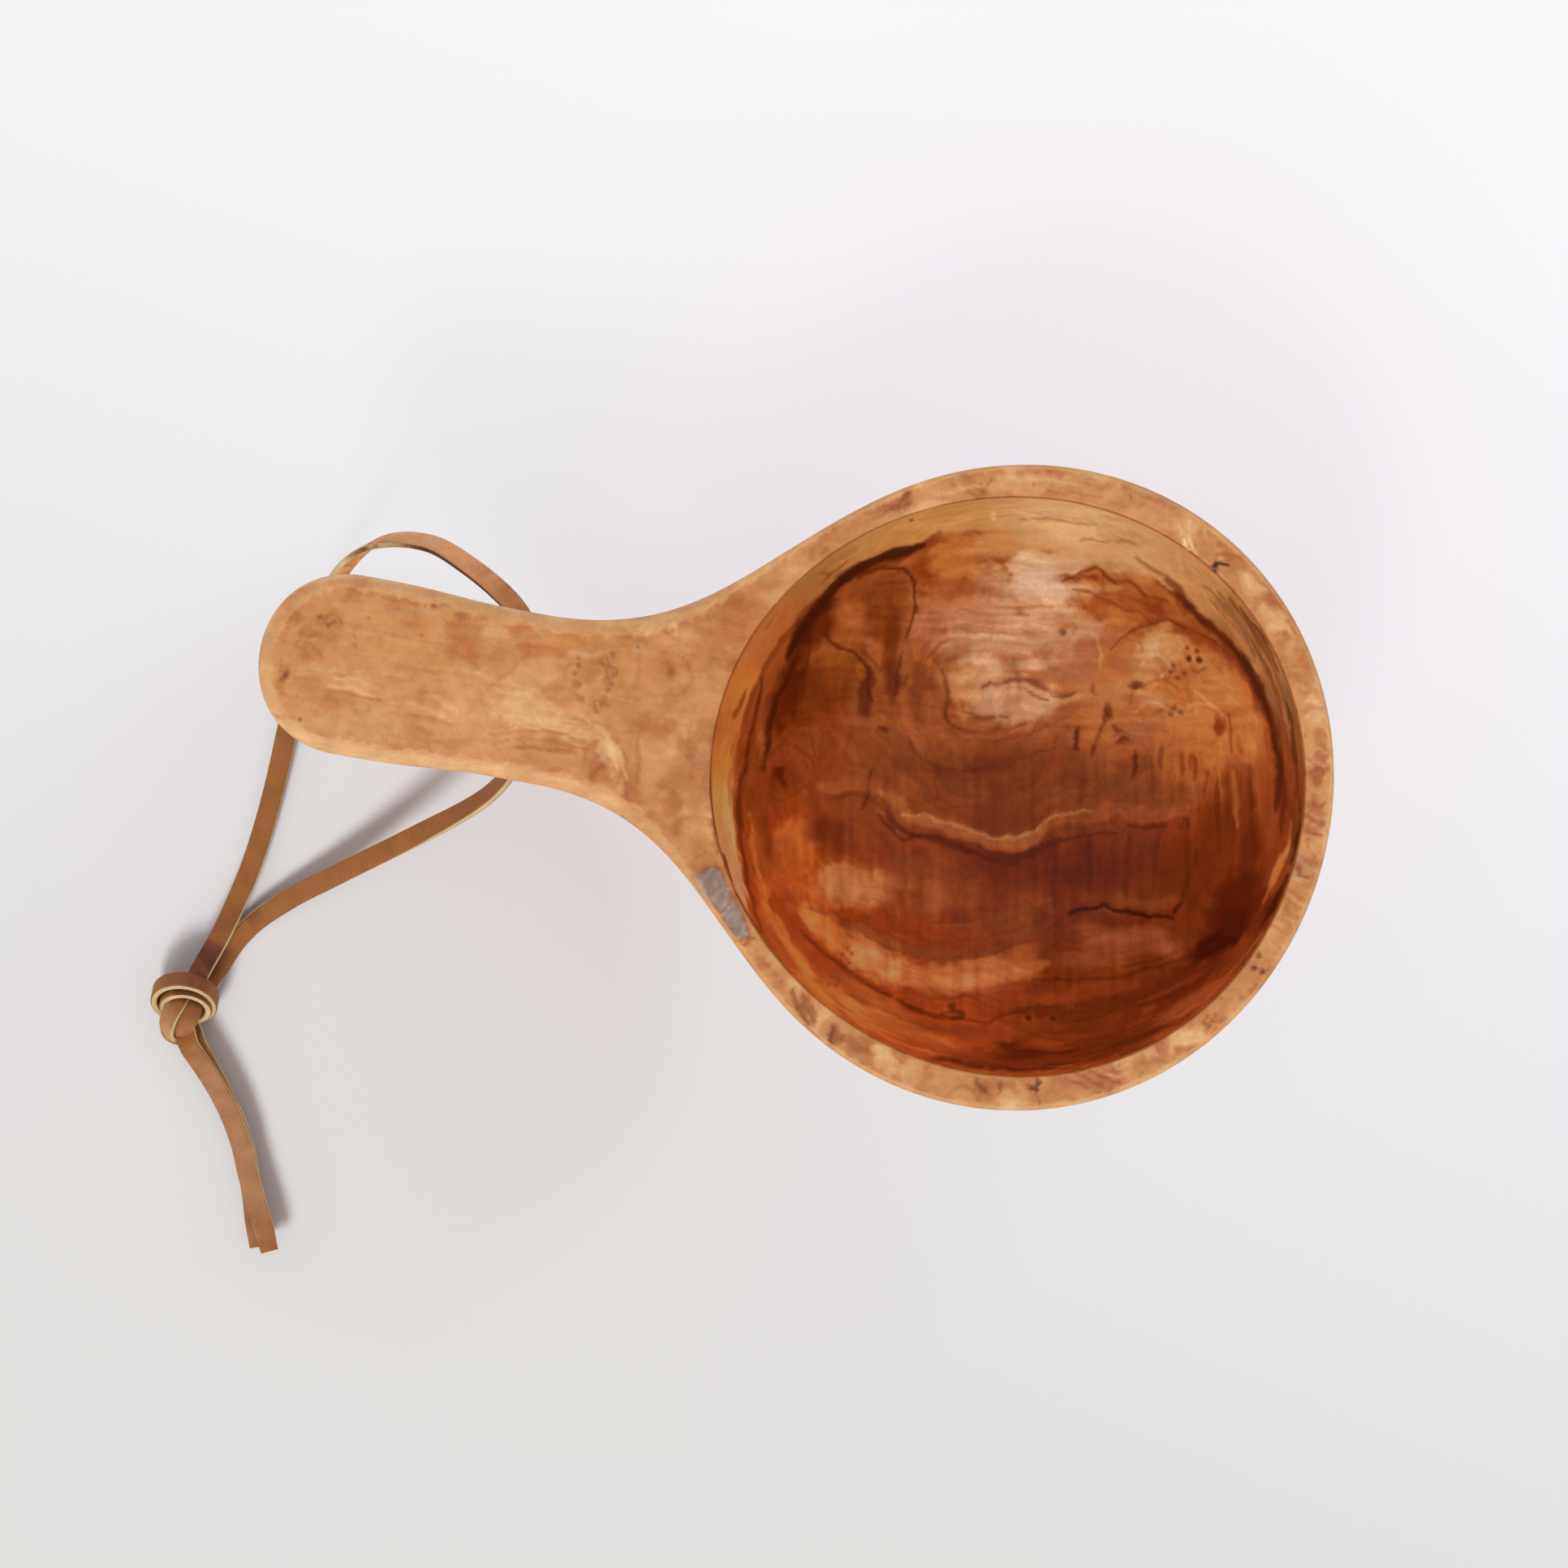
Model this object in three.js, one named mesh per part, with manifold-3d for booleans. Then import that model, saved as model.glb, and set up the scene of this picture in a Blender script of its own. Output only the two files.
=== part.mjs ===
// Kuksa: a drinking cup carved from one piece of burl, with a leather lace through its handle.
// Millimetres, +Z up. The origin is the centre of the foot, and the handle points along -X.
// It is carved by eye, so its two sides differ by a fraction of a millimetre.

import * as THREE from 'three';
import { LoftGeometry } from 'three/addons/geometries/LoftGeometry.js';
import { mergeVertices } from 'three/addons/utils/BufferGeometryUtils.js';
import Module from 'manifold-3d';

const wasm = await Module();
wasm.setup();

// Bowl
const cupHeight = 55;
const rimRadius = 50.76;
const rimWall = 4.36;
const footRadius = 25;
const floorThickness = 9;
const wallDraft = 2.5; // how far the inner wall leans in over its whole depth
const hollowSquareness = 2.6; // 2 would be a round bottom, more has a flatter floor
const hollowShift = 0.6; // the hollow lies a little towards the handle
const hollowStretch = 0.65; // and is a little longer than it is wide
const hollowLobes = 0.5; // and faintly three-cornered
const rimShift = 0.44; // the rim lies a little away from the handle
const rimOval = 0.54; // and the knife left it faintly oval
const rimOvalTurn = 77; // degrees from +X to the oval's long side
const rimLobes = 0.33; // and three-cornered
const rimLobesTurn = 53;

// Handle, with its flat top level with the rim
const handleReach = 121.5; // bowl's axis to the tip
const waistWidth = 26.8;
const waistPlace = 82.7; // from the bowl's axis
const endWidth = 28.7;
const endPlace = 102;
const endSquareness = 2.1;
const topThickness = 8; // the thumb rest, at its edge
const undercutHeight = 7; // the slope from the thumb rest in to the keel
const keelWidth = 16;
const keelRootReach = 10;
const keelRootHeight = 2;
const noseHeight = 50; // below this, the tip starts to draw in
const keelSquareness = 1.45; // 1 would be a straight slope from tip to root
const leftNeckBlend = 29; // how softly the thumb rest runs into the rim on the +Y side
const rightNeckBlend = 26.4; // and on the -Y side
const keelBlend = 14; // how softly the keel runs into the bowl
const rimEdge = 0.8; // rounding of the bowl's outer edge
const handleEdge = 2.5; // rounding of the handle's top edge
const edgeChangePlace = 62; // where one rounding has become the other
const edgeChangeLength = 20;

// Finger hole, side to side through the keel
const holePlace = 69.5; // from the bowl's axis
const holeHeight = 32.2; // its middle, above the table
const holeLength = 27;
const holeRise = 17.5;
const holeSquareness = 2.5;
const holeRounding = 2.5; // the softened edge of its two mouths

// Lace
const laceWidth = 3.4;
const laceThickness = 1.4;
const gap = 0.3; // between pieces that touch
const laceSides = 8;
const laceStep = 2.4 * laceWidth;
const seatAngle = 30; // degrees below level, where the lace leans in the hole's outer end
const outerLap = 5; // radii of the knot's two laps
const innerLap = 4;
const lapLean = 36; // degrees
const lapSides = 20;
const stubLength = 5.5;

// Fineness of the carved surfaces
const bowlRays = 28; // plan points on each half of the bowl
const handlePoints = 30; // plan points on each side of the handle
const traceRays = 240; // rays that find the handle's outline before it is spaced evenly
const handleStart = THREE.MathUtils.degToRad(130); // where the bowl's share of an outline ends
const bowlLevels = 16;
const undercutLevels = 6;
const edgeLevels = 4;
const hollowRings = 15;
const hollowPoints = 72;
const holeSections = 5; // in each rounded mouth
const holePoints = 40;

const woodMaterial = () => new THREE.MeshStandardMaterial({ color: 0xc98a52, roughness: 0.42, metalness: 0 });
const leatherMaterial = () => new THREE.MeshStandardMaterial({ color: 0xb0703f, roughness: 0.7, metalness: 0 });

const { smoothstep, lerp, clamp, degToRad } = THREE.MathUtils;

// A closed geometry as a solid that can be joined and cut.
function solid(geometry) {
  const bare = new THREE.BufferGeometry();
  bare.setAttribute('position', geometry.attributes.position);
  bare.setIndex(geometry.index);
  const merged = mergeVertices(bare, 1e-5);
  return new wasm.Manifold(new wasm.Mesh({
    numProp: 3,
    vertProperties: merged.attributes.position.array,
    triVerts: new Uint32Array(merged.index.array),
  }));
}

function geometryOf(body) {
  const mesh = body.getMesh();
  const geometry = new THREE.BufferGeometry();
  geometry.setAttribute('position', new THREE.BufferAttribute(mesh.vertProperties, 3));
  geometry.setIndex(new THREE.BufferAttribute(mesh.triVerts, 1));
  geometry.computeVertexNormals();
  return geometry;
}

function named(name, geometry, material) {
  const mesh = new THREE.Mesh(geometry, material);
  mesh.name = name;
  return mesh;
}

// The outside of the bowl is a quarter of an ellipse, from the foot up to the rim.
function bowlRadius(z) {
  const up = z / cupHeight;
  return footRadius + (rimRadius - footRadius) * Math.sqrt(Math.max(0, 1 - (1 - up) ** 2));
}

// Each of the next functions is below 0 inside the wood, 0 on its face and above 0 outside, and
// reads about as a distance in the plan at height z.
function bowlGap(x, y, z) {
  const angle = Math.atan2(y, x);
  const oval = rimOval * Math.cos(2 * (angle - degToRad(rimOvalTurn)));
  const lobes = rimLobes * Math.cos(3 * (angle - degToRad(rimLobesTurn)));
  const wave = (z / cupHeight) * (rimShift * Math.cos(angle) + oval + lobes);
  return Math.hypot(x, y) - bowlRadius(z) - wave;
}

// 0 in the keel, 1 in the thumb rest above it.
function thumbRestShare(z) {
  const underside = cupHeight - topThickness;
  return smoothstep(z, underside - undercutHeight, underside);
}

// How far the handle reaches from the bowl's axis at height z.
function handleTip(z) {
  const up = clamp((z - keelRootHeight) / (noseHeight - keelRootHeight), 0, 1);
  const swell = (1 - (1 - up) ** keelSquareness) ** (1 / keelSquareness);
  return lerp(keelRootReach, handleReach, swell);
}

// The handle runs from the bowl's axis out to its tip.
function handleGap(x, y, z) {
  const thumbRest = lerp(waistWidth, endWidth, smoothstep(-x, waistPlace, endPlace)) / 2;
  const half = lerp(keelWidth / 2, thumbRest, thumbRestShare(z));
  const beyond = Math.max(0, x, -x - (handleTip(z) - half));
  return (beyond ** endSquareness + Math.abs(y) ** endSquareness) ** (1 / endSquareness) - half;
}

// Bowl and handle, run together with a soft neck.
function cupGap(x, y, z) {
  const bowl = bowlGap(x, y, z);
  const handle = handleGap(x, y, z);
  const neck = lerp(rightNeckBlend, leftNeckBlend, smoothstep(y, -waistWidth / 2, waistWidth / 2));
  const blend = lerp(keelBlend, neck, thumbRestShare(z));
  const near = Math.max(0, blend - Math.abs(bowl - handle)) / blend;
  return Math.min(bowl, handle) - (near * near * blend) / 4;
}

// A level of the cup: a height below the top edges, and how far round their quarter circle it is.
// At turn 0 the outline is full size, and at turn 1 it has come in by the whole rounding.
function pointOnRay(angle, level) {
  const place = (radius) => {
    const x = radius * Math.cos(angle);
    const y = radius * Math.sin(angle);
    const edge = lerp(rimEdge, handleEdge, smoothstep(-x, edgeChangePlace - edgeChangeLength, edgeChangePlace));
    const quarter = (level.turn * Math.PI) / 2;
    const z = Math.min(level.z, cupHeight - edge) + edge * Math.sin(quarter);
    return { point: new THREE.Vector3(x, y, z), inset: edge * (1 - Math.cos(quarter)) };
  };
  let inside = 0;
  let outside = 1.2 * handleReach;
  for (let i = 0; i < 50; i += 1) {
    const middle = (inside + outside) / 2;
    const { point, inset } = place(middle);
    if (cupGap(point.x, point.y, level.z) + inset < 0) {
      inside = middle;
    } else {
      outside = middle;
    }
  }
  return place(inside).point;
}

// One plan outline, counterclockwise from the point opposite the handle. Along the handle the points
// are spaced evenly, because rays from the bowl's axis meet its sides at a shallow slant.
function outline(level) {
  const left = halfOutline(level, 1);
  const right = halfOutline(level, -1);
  return [...left, ...right.slice(1, -1).reverse()];
}

function halfOutline(level, side) {
  const half = [];
  for (let i = 0; i < bowlRays; i += 1) {
    half.push(pointOnRay((side * handleStart * i) / bowlRays, level));
  }
  const traced = [];
  for (let i = 0; i <= traceRays; i += 1) {
    const rest = (1 - i / traceRays) ** 2;
    traced.push(pointOnRay(side * (Math.PI - (Math.PI - handleStart) * rest), level));
  }
  const handle = new THREE.CatmullRomCurve3(traced);
  handle.arcLengthDivisions = 4 * traceRays;
  half.push(...handle.getSpacedPoints(handlePoints));
  return half;
}

// The block is carved to a stack of plan outlines, from the foot up to the rounded top edges.
function carvedBlock() {
  const levels = [];
  const underside = cupHeight - topThickness;
  const keelTop = underside - undercutHeight;
  const lastTurn = Math.acos(1 - keelTop / cupHeight);
  for (let i = 0; i <= bowlLevels; i += 1) {
    levels.push({ z: cupHeight * (1 - Math.cos((lastTurn * i) / bowlLevels)), turn: 0 });
  }
  for (let i = 1; i <= undercutLevels; i += 1) {
    levels.push({ z: lerp(keelTop, underside, i / undercutLevels), turn: 0 });
  }
  for (let i = 0; i <= edgeLevels; i += 1) {
    levels.push({ z: cupHeight, turn: i / edgeLevels });
  }
  return new LoftGeometry(levels.map(outline), { capStart: true, capEnd: true });
}

// The hollow, from the middle of its floor up past the rim.
function hollow() {
  const depth = cupHeight - floorThickness;
  const ring = (radius, z) => {
    const points = [];
    const up = clamp((z - floorThickness) / depth, 0, 1);
    for (let i = 0; i < hollowPoints; i += 1) {
      const angle = (2 * Math.PI * i) / hollowPoints;
      const carved = hollowStretch * Math.cos(2 * angle) - hollowLobes * Math.cos(3 * angle);
      const out = radius + up * carved * (radius / (rimRadius - rimWall));
      points.push(new THREE.Vector3(out * Math.cos(angle) - up * hollowShift, out * Math.sin(angle), z));
    }
    return points;
  };
  const rings = [];
  for (let i = 1; i <= hollowRings; i += 1) {
    const angle = (Math.PI / 2) * (i / hollowRings);
    const across = Math.sin(angle) ** (2 / hollowSquareness);
    const up = 1 - Math.cos(angle) ** (2 / hollowSquareness);
    const radius = (rimRadius - rimWall - wallDraft * (1 - up)) * across;
    rings.push(ring(radius, floorThickness + depth * up));
  }
  rings.push(ring(rimRadius - rimWall, cupHeight + handleEdge));
  return new LoftGeometry(rings, { capStart: true, capEnd: true });
}

// The finger hole is a rounded slot that widens as a quarter circle where it meets the keel's sides.
function fingerHole() {
  const half = keelWidth / 2;
  const sections = [];
  const section = (y, spread) => {
    const points = [];
    for (let i = 0; i < holePoints; i += 1) {
      const angle = (2 * Math.PI * i) / holePoints;
      const along = Math.sign(Math.sin(angle)) * Math.abs(Math.sin(angle)) ** (2 / holeSquareness);
      const up = Math.sign(Math.cos(angle)) * Math.abs(Math.cos(angle)) ** (2 / holeSquareness);
      const x = -holePlace + (holeLength / 2 + spread) * along;
      points.push(new THREE.Vector3(x, y, holeHeight + (holeRise / 2 + spread) * up));
    }
    sections.push(points);
  };
  const mouth = [];
  for (let i = 0; i <= holeSections; i += 1) {
    const angle = (Math.PI / 2) * (i / holeSections);
    mouth.push([half - holeRounding + holeRounding * Math.sin(angle), holeRounding * (1 - Math.cos(angle))]);
  }
  mouth.push([endWidth / 2 + gap, holeRounding]);
  mouth.slice().reverse().forEach(([y, spread]) => section(-y, spread));
  mouth.forEach(([y, spread]) => section(y, spread));
  return new LoftGeometry(sections, { capStart: true, capEnd: true });
}

function cup() {
  const body = solid(carvedBlock()).subtract(solid(hollow())).subtract(solid(fingerHole()));
  return named('cup', geometryOf(body), woodMaterial());
}

// The lace lies in the lower corner of the hole's outer end, its middle at this place.
function laceSeat() {
  const inset = laceWidth / 2 + gap;
  const angle = degToRad(seatAngle);
  const along = Math.cos(angle) ** (2 / holeSquareness) * (holeLength / 2 - inset);
  const down = Math.sin(angle) ** (2 / holeSquareness) * (holeRise / 2 - inset);
  return { x: -holePlace - along, z: holeHeight - down };
}

const curveThrough = (route) => new THREE.CatmullRomCurve3(
  route.map((p) => new THREE.Vector3(...p)), false, 'centripetal');

// A cord along a curve. Its section is given across and up.
function cord(path, across, up) {
  const section = new THREE.Shape();
  for (let i = 0; i < laceSides; i += 1) {
    const angle = (2 * Math.PI * (i + 0.5)) / laceSides;
    const x = (up / 2) * Math.cos(angle);
    const y = (across / 2) * Math.sin(angle);
    if (i === 0) {
      section.moveTo(x, y);
    } else {
      section.lineTo(x, y);
    }
  }
  section.closePath();
  const steps = Math.max(1, Math.round(path.getLength() / laceStep));
  return new THREE.ExtrudeGeometry(section, { steps, bevelEnabled: false, extrudePath: path });
}

function strand(name, route) {
  return named(name, cord(curveThrough(route), laceWidth, laceWidth), leatherMaterial());
}

function tail(name, route) {
  return named(name, cord(curveThrough(route), laceWidth, laceThickness), leatherMaterial());
}

const seat = laceSeat();

// Out of the hole on the +Y side, round the handle's end, under it and along the table to the knot.
const longRoute = [
  [seat.x, gap / 2, seat.z],
  [seat.x, 3.6, seat.z],
  [seat.x, 7, seat.z],
  [-80.6, 9.8, 28.3],
  [-82.3, 12.2, 28.1],
  [-84.8, 14.7, 27.8],
  [-88.6, 17.3, 27],
  [-93.6, 19.9, 25],
  [-98.9, 22, 22.5],
  [-103.1, 22.4, 20],
  [-107, 21.9, 17.2],
  [-109.8, 20.9, 14.8],
  [-112.7, 18.6, 12],
  [-115.5, 14.6, 8.8],
  [-117.6, 8.6, 6.4],
  [-118.7, 1.8, 4.5],
  [-119.4, -5.6, 3.3],
  [-119.9, -12.8, 2.6],
  [-120.2, -19.9, 2.1],
  [-120.8, -28.1, 2],
  [-121.8, -35.9, 2.2],
  [-123.1, -42.4, 3.3],
  [-124.5, -48.2, 4.9],
  [-126.3, -53.6, 5.8],
];

// Out of the hole on the -Y side and down to the table, to the knot.
const shortRoute = [
  [seat.x, -gap / 2, seat.z],
  [seat.x, -3.6, seat.z],
  [seat.x, -7, seat.z],
  [-79.9, -10, 27.6],
  [-80.7, -12.7, 25.8],
  [-82.5, -15.5, 22.9],
  [-84.8, -18, 19.8],
  [-88, -20.7, 16.3],
  [-91.6, -23.4, 13],
  [-95.8, -26.5, 10],
  [-100.2, -29.7, 7.5],
  [-104.5, -32.8, 5.5],
  [-108.8, -36, 4.1],
  [-112.1, -38.4, 3.1],
  [-115.3, -41, 2.4],
  [-119.1, -44.6, 1.9],
  [-122, -48.7, 1.8],
  [-124.1, -53.6, 2.1],
];

const knotMiddle = [-128.1, -60.8, 5.2];

// The upper tail lies on the lower one, and both stay just off the table, stiff as new leather is.
const frontRoute = [
  [-126.4, -67.4, 4.9],
  [-124.4, -69.5, 4.7],
  [-121.9, -72.1, 4.5],
  [-119.3, -75.2, 4.3],
  [-116.8, -78.8, 4.2],
  [-114.6, -82.8, 4.2],
  [-112.9, -86.8, 4.3],
  [-110.8, -91, 4.4],
  [-108.8, -95, 4.6],
  [-106.9, -99, 4.9],
];

// It shows past the upper one only beside the knot and at its own end.
const backRoute = frontRoute.map(([x, y, z], i) => {
  const along = i / (frontRoute.length - 1);
  const aside = lerp(1, 0, smoothstep(along, 0, 0.35)) - lerp(0, 1.9, smoothstep(along, 0.6, 1));
  return [x + aside, y + 0.3, z - laceThickness - gap - 0.1];
});

// A lap of lace round the knot: a short drum that leans over the strands.
function lap(radius, middle) {
  const edge = laceThickness / 2;
  const half = laceWidth / 2;
  const profile = [
    new THREE.Vector2(0, -half),
    new THREE.Vector2(radius - edge, -half),
    new THREE.Vector2(radius, edge - half),
    new THREE.Vector2(radius, half - edge),
    new THREE.Vector2(radius - edge, half),
    new THREE.Vector2(0, half),
  ];
  const drum = new THREE.LatheGeometry(profile, lapSides);
  drum.rotateX(-degToRad(lapLean));
  drum.translate(...middle);
  return solid(drum);
}

// The piece of strand or tail that carries on into the knot, a gap away from its free stretch.
function stub(route, atEnd, up) {
  const curve = curveThrough(route);
  const face = curve.getPoint(atEnd ? 1 : 0);
  const heading = curve.getTangent(atEnd ? 1 : 0).multiplyScalar(atEnd ? 1 : -1);
  const from = face.clone().addScaledVector(heading, gap);
  const to = face.clone().addScaledVector(heading, stubLength);
  return solid(cord(new THREE.LineCurve3(from, to), laceWidth, up));
}

// An overhand knot tied with both strands: two laps over the strands, and the turn that holds the tails.
function knot() {
  const [x, y, z] = knotMiddle;
  const turn = new THREE.SphereGeometry(1, 16, 12);
  turn.scale(3.3, 3.6, 4);
  turn.translate(x - 0.9, y - 3.2, z - 0.2);
  const body = lap(outerLap, [x, y + 1.8, z])
    .add(lap(innerLap, [x + 0.2, y - 0.6, z - 0.4]))
    .add(stub(longRoute, true, laceWidth))
    .add(stub(shortRoute, true, laceWidth))
    .add(stub(frontRoute, false, laceThickness))
    .add(stub(backRoute, false, laceThickness))
    .add(solid(turn));
  return named('lace_knot', geometryOf(body), leatherMaterial());
}

const kuksa = new THREE.Group();
kuksa.add(cup());
kuksa.add(strand('lace_strand_long', longRoute));
kuksa.add(strand('lace_strand_short', shortRoute));
kuksa.add(knot());
kuksa.add(tail('lace_tail_front', frontRoute));
kuksa.add(tail('lace_tail_back', backRoute));

export default kuksa;
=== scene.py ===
import math

import bmesh
import bpy
import numpy as np
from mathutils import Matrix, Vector
from mathutils.geometry import delaunay_2d_cdt


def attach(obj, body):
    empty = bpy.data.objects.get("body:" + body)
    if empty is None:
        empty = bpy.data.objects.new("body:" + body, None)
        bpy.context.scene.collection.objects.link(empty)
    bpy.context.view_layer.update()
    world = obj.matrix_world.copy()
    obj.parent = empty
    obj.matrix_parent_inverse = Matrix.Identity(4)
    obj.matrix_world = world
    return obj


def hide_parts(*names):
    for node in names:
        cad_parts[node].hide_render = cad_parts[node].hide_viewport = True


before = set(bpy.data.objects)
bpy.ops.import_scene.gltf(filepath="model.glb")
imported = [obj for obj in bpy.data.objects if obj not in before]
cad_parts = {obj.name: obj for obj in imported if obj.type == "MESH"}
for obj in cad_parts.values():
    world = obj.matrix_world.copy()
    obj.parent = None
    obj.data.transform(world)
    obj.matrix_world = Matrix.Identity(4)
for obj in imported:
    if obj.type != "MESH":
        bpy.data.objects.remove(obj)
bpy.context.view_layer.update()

MM = 0.001  # everything is worked out in millimetres

# The camera as fitted to the picture, whose up and right are turned a little from the cup's own axes.
TAU = math.radians(10.3)
CAMERA = np.array((-35.90, -6.26, 855.0))
RIGHT = np.array((math.cos(TAU), math.sin(TAU), 0.0))
UP = np.array((-math.sin(TAU), math.cos(TAU), 0.0))
FIELD = math.radians(17.62)
MIDDLE = 966  # half the side of the picture, in pixels
ZOOM = MIDDLE / math.tan(FIELD / 2)


def seen_from_above(points):
    """Where points of the cup, in mm, fall in a 1932-pixel square picture taken from above."""
    d = np.asarray(points, float) - CAMERA
    scale = ZOOM / -d[:, 2]
    return np.stack((MIDDLE + (d @ RIGHT) * scale, MIDDLE - (d @ UP) * scale), axis=1)


def at(u, v, z):
    """The place, in mm, of a pixel of that picture at one height."""
    scale = (CAMERA[2] - z) / ZOOM
    return CAMERA * (1, 1, 0) + (u - MIDDLE) * scale * RIGHT + (MIDDLE - v) * scale * UP + (0, 0, z)


def added(name, data):
    """A new object in the scene."""
    o = bpy.data.objects.new(name, data)
    bpy.context.collection.objects.link(o)
    return o


camera = added("camera", bpy.data.cameras.new("camera"))
camera.location = CAMERA * MM
camera.rotation_euler = (0, 0, TAU)
camera.data.sensor_fit = "HORIZONTAL"
camera.data.angle = FIELD
camera.data.clip_start = 0.01
bpy.context.scene.camera = camera
bpy.context.scene.view_settings.view_transform = "Standard"


# Short forms for materials.
def srgb(c):
    """Colours with channels from 0 to 255, made linear."""
    c = np.asarray(c, float) / 255
    return np.where(c <= 0.04045, c / 12.92, ((c + 0.055) / 1.055) ** 2.4)


def four(value):
    """A grey or a colour with the four channels of a node's socket."""
    return (*value, 1) if np.ndim(value) else (value, value, value, 1)


def fill(tree, n, inputs):
    """Gives a node's inputs a socket to follow, or a constant."""
    for key, value in inputs.items():
        if isinstance(value, bpy.types.NodeSocket):
            tree.links.new(value, n.inputs[key])
        else:
            n.inputs[key].default_value = value


def node(tree, kind, inputs, output=0, **settings):
    """One output of a new node."""
    n = tree.nodes.new(kind)
    for key, value in settings.items():
        setattr(n, key, value)
    fill(tree, n, inputs)
    return n.outputs[output]


def new_material(name):
    m = bpy.data.materials.new(name)
    m.use_nodes = True
    tree = m.node_tree
    tree.nodes.clear()
    out = tree.nodes.new("ShaderNodeOutputMaterial")
    shader = tree.nodes.new("ShaderNodeBsdfPrincipled")
    tree.links.new(shader.outputs[0], out.inputs[0])
    return m, tree, shader


def ramp(tree, fac, *stops):
    n = tree.nodes.new("ShaderNodeValToRGB")
    tree.links.new(fac, n.inputs[0])
    e = n.color_ramp.elements
    while len(e) < len(stops):
        e.new(0.5)
    for element, (position, value) in zip(e, stops):
        element.position = position
        element.color = four(value)
    return n.outputs[0]


def arithmetic(tree, operation, a, b, clamp=False):
    return node(tree, "ShaderNodeMath", {0: a, 1: b}, operation=operation, use_clamp=clamp)


def times(tree, a, b):
    """The product of two colours."""
    return node(tree, "ShaderNodeMix", {0: 1.0, 6: a, 7: b}, 2, data_type="RGBA", blend_type="MULTIPLY")


def attribute(tree, name, output=0):
    return node(tree, "ShaderNodeAttribute", {}, output, attribute_name=name)


def place(tree):
    """Where a point of the object lies, in metres."""
    return node(tree, "ShaderNodeTexCoord", {}, "Object")


def cloudy(tree, where, scale, detail, roughness, distortion=0.0):
    return node(tree, "ShaderNodeTexNoise", {"Vector": where, "Scale": scale, "Detail": detail,
                                             "Roughness": roughness, "Distortion": distortion})


def bump(tree, height, strength, distance, **normal):
    return node(tree, "ShaderNodeBump", {"Strength": strength, "Distance": distance, "Height": height, **normal})


def lattice(i, j, k, seed):
    """A number from -1 to 1 for each point of a grid, mixed from its place."""
    h = (i * 374761393 + j * 668265263 + k * 2147483647 + seed * 1274126177) & 0xFFFFFFFF
    h = ((h ^ (h >> 13)) * 1274126177) & 0xFFFFFFFF
    return ((h ^ (h >> 16)) & 0xFFFF) / 32767.5 - 1


def noise(p, scale, seed, octaves=3):
    """Smooth noise from -1 to 1 at points p, with features about scale across."""
    total, weight, size = 0.0, 0.0, 1.0
    for octave in range(octaves):
        q = p / (scale * size)
        base = np.floor(q).astype(np.int64)
        f = q - base
        f = f * f * f * (f * (f * 6 - 15) + 10)
        value = 0.0
        for dx in (0, 1):
            for dy in (0, 1):
                for dz in (0, 1):
                    w = ((f[:, 0] if dx else 1 - f[:, 0]) * (f[:, 1] if dy else 1 - f[:, 1])
                         * (f[:, 2] if dz else 1 - f[:, 2]))
                    value = value + w * lattice(base[:, 0] + dx, base[:, 1] + dy, base[:, 2] + dz, seed + octave)
        total = total + value * size
        weight += size
        size /= 2
    return total / weight * 1.4


def smooth_curve(points, per=10):
    """A smooth line through a few points of any dimension."""
    p = np.asarray(points, float)
    if len(p) < 3:
        t = np.linspace(0, 1, per * 2)[:, None]
        return p[0] * (1 - t) + p[-1] * t
    q = np.vstack((2 * p[0] - p[1], p, 2 * p[-1] - p[-2]))
    out = []
    for i in range(1, len(q) - 2):
        p0, p1, p2, p3 = q[i - 1], q[i], q[i + 1], q[i + 2]
        d = [max(1e-6, np.linalg.norm(b - a)) ** 0.5 for a, b in ((p0, p1), (p1, p2), (p2, p3))]
        m1 = ((p1 - p0) / d[0] - (p2 - p0) / (d[0] + d[1]) + (p2 - p1) / d[1]) * d[1]
        m2 = ((p2 - p1) / d[1] - (p3 - p1) / (d[1] + d[2]) + (p3 - p2) / d[2]) * d[1]
        t = np.linspace(0, 1, per, endpoint=False)[:, None]
        out.append((2 * t ** 3 - 3 * t ** 2 + 1) * p1 + (t ** 3 - 2 * t ** 2 + t) * m1
                   + (-2 * t ** 3 + 3 * t ** 2) * p2 + (t ** 3 - t ** 2) * m2)
    out.append(q[-2][None])
    return np.vstack(out)


# The cup's form, as carved in the CAD part.
CUP_HEIGHT, RIM_RADIUS, RIM_WALL, FOOT_RADIUS, FLOOR = 55.0, 50.76, 4.36, 25.0, 9.0
WALL_DRAFT, SQUARENESS, SHIFT, STRETCH, LOBES = 2.5, 2.6, 0.6, 0.65, 0.5
RIM_SHIFT, RIM_OVAL, RIM_OVAL_TURN, RIM_LOBES, RIM_LOBES_TURN = 0.44, 0.54, 77.0, 0.33, 53.0
REACH, WAIST, WAIST_AT, END, END_AT, END_POWER = 121.5, 26.8, 82.7, 28.7, 102.0, 2.1
TOP_THICKNESS, UNDERCUT, KEEL, ROOT_REACH, ROOT_HEIGHT, NOSE = 8.0, 7.0, 16.0, 10.0, 2.0, 50.0
KEEL_POWER, LEFT_NECK, RIGHT_NECK, KEEL_BLEND = 1.45, 29.0, 26.4, 14.0
RIM_EDGE, HANDLE_EDGE, EDGE_AT, EDGE_LENGTH = 0.8, 2.5, 62.0, 20.0
HOLE_AT, HOLE_HEIGHT, HOLE_LENGTH, HOLE_RISE, HOLE_POWER, HOLE_ROUND = 69.5, 32.2, 27.0, 17.5, 2.5, 2.5
INNER_EDGE = 0.45  # rounding of the hollow's mouth
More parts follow.
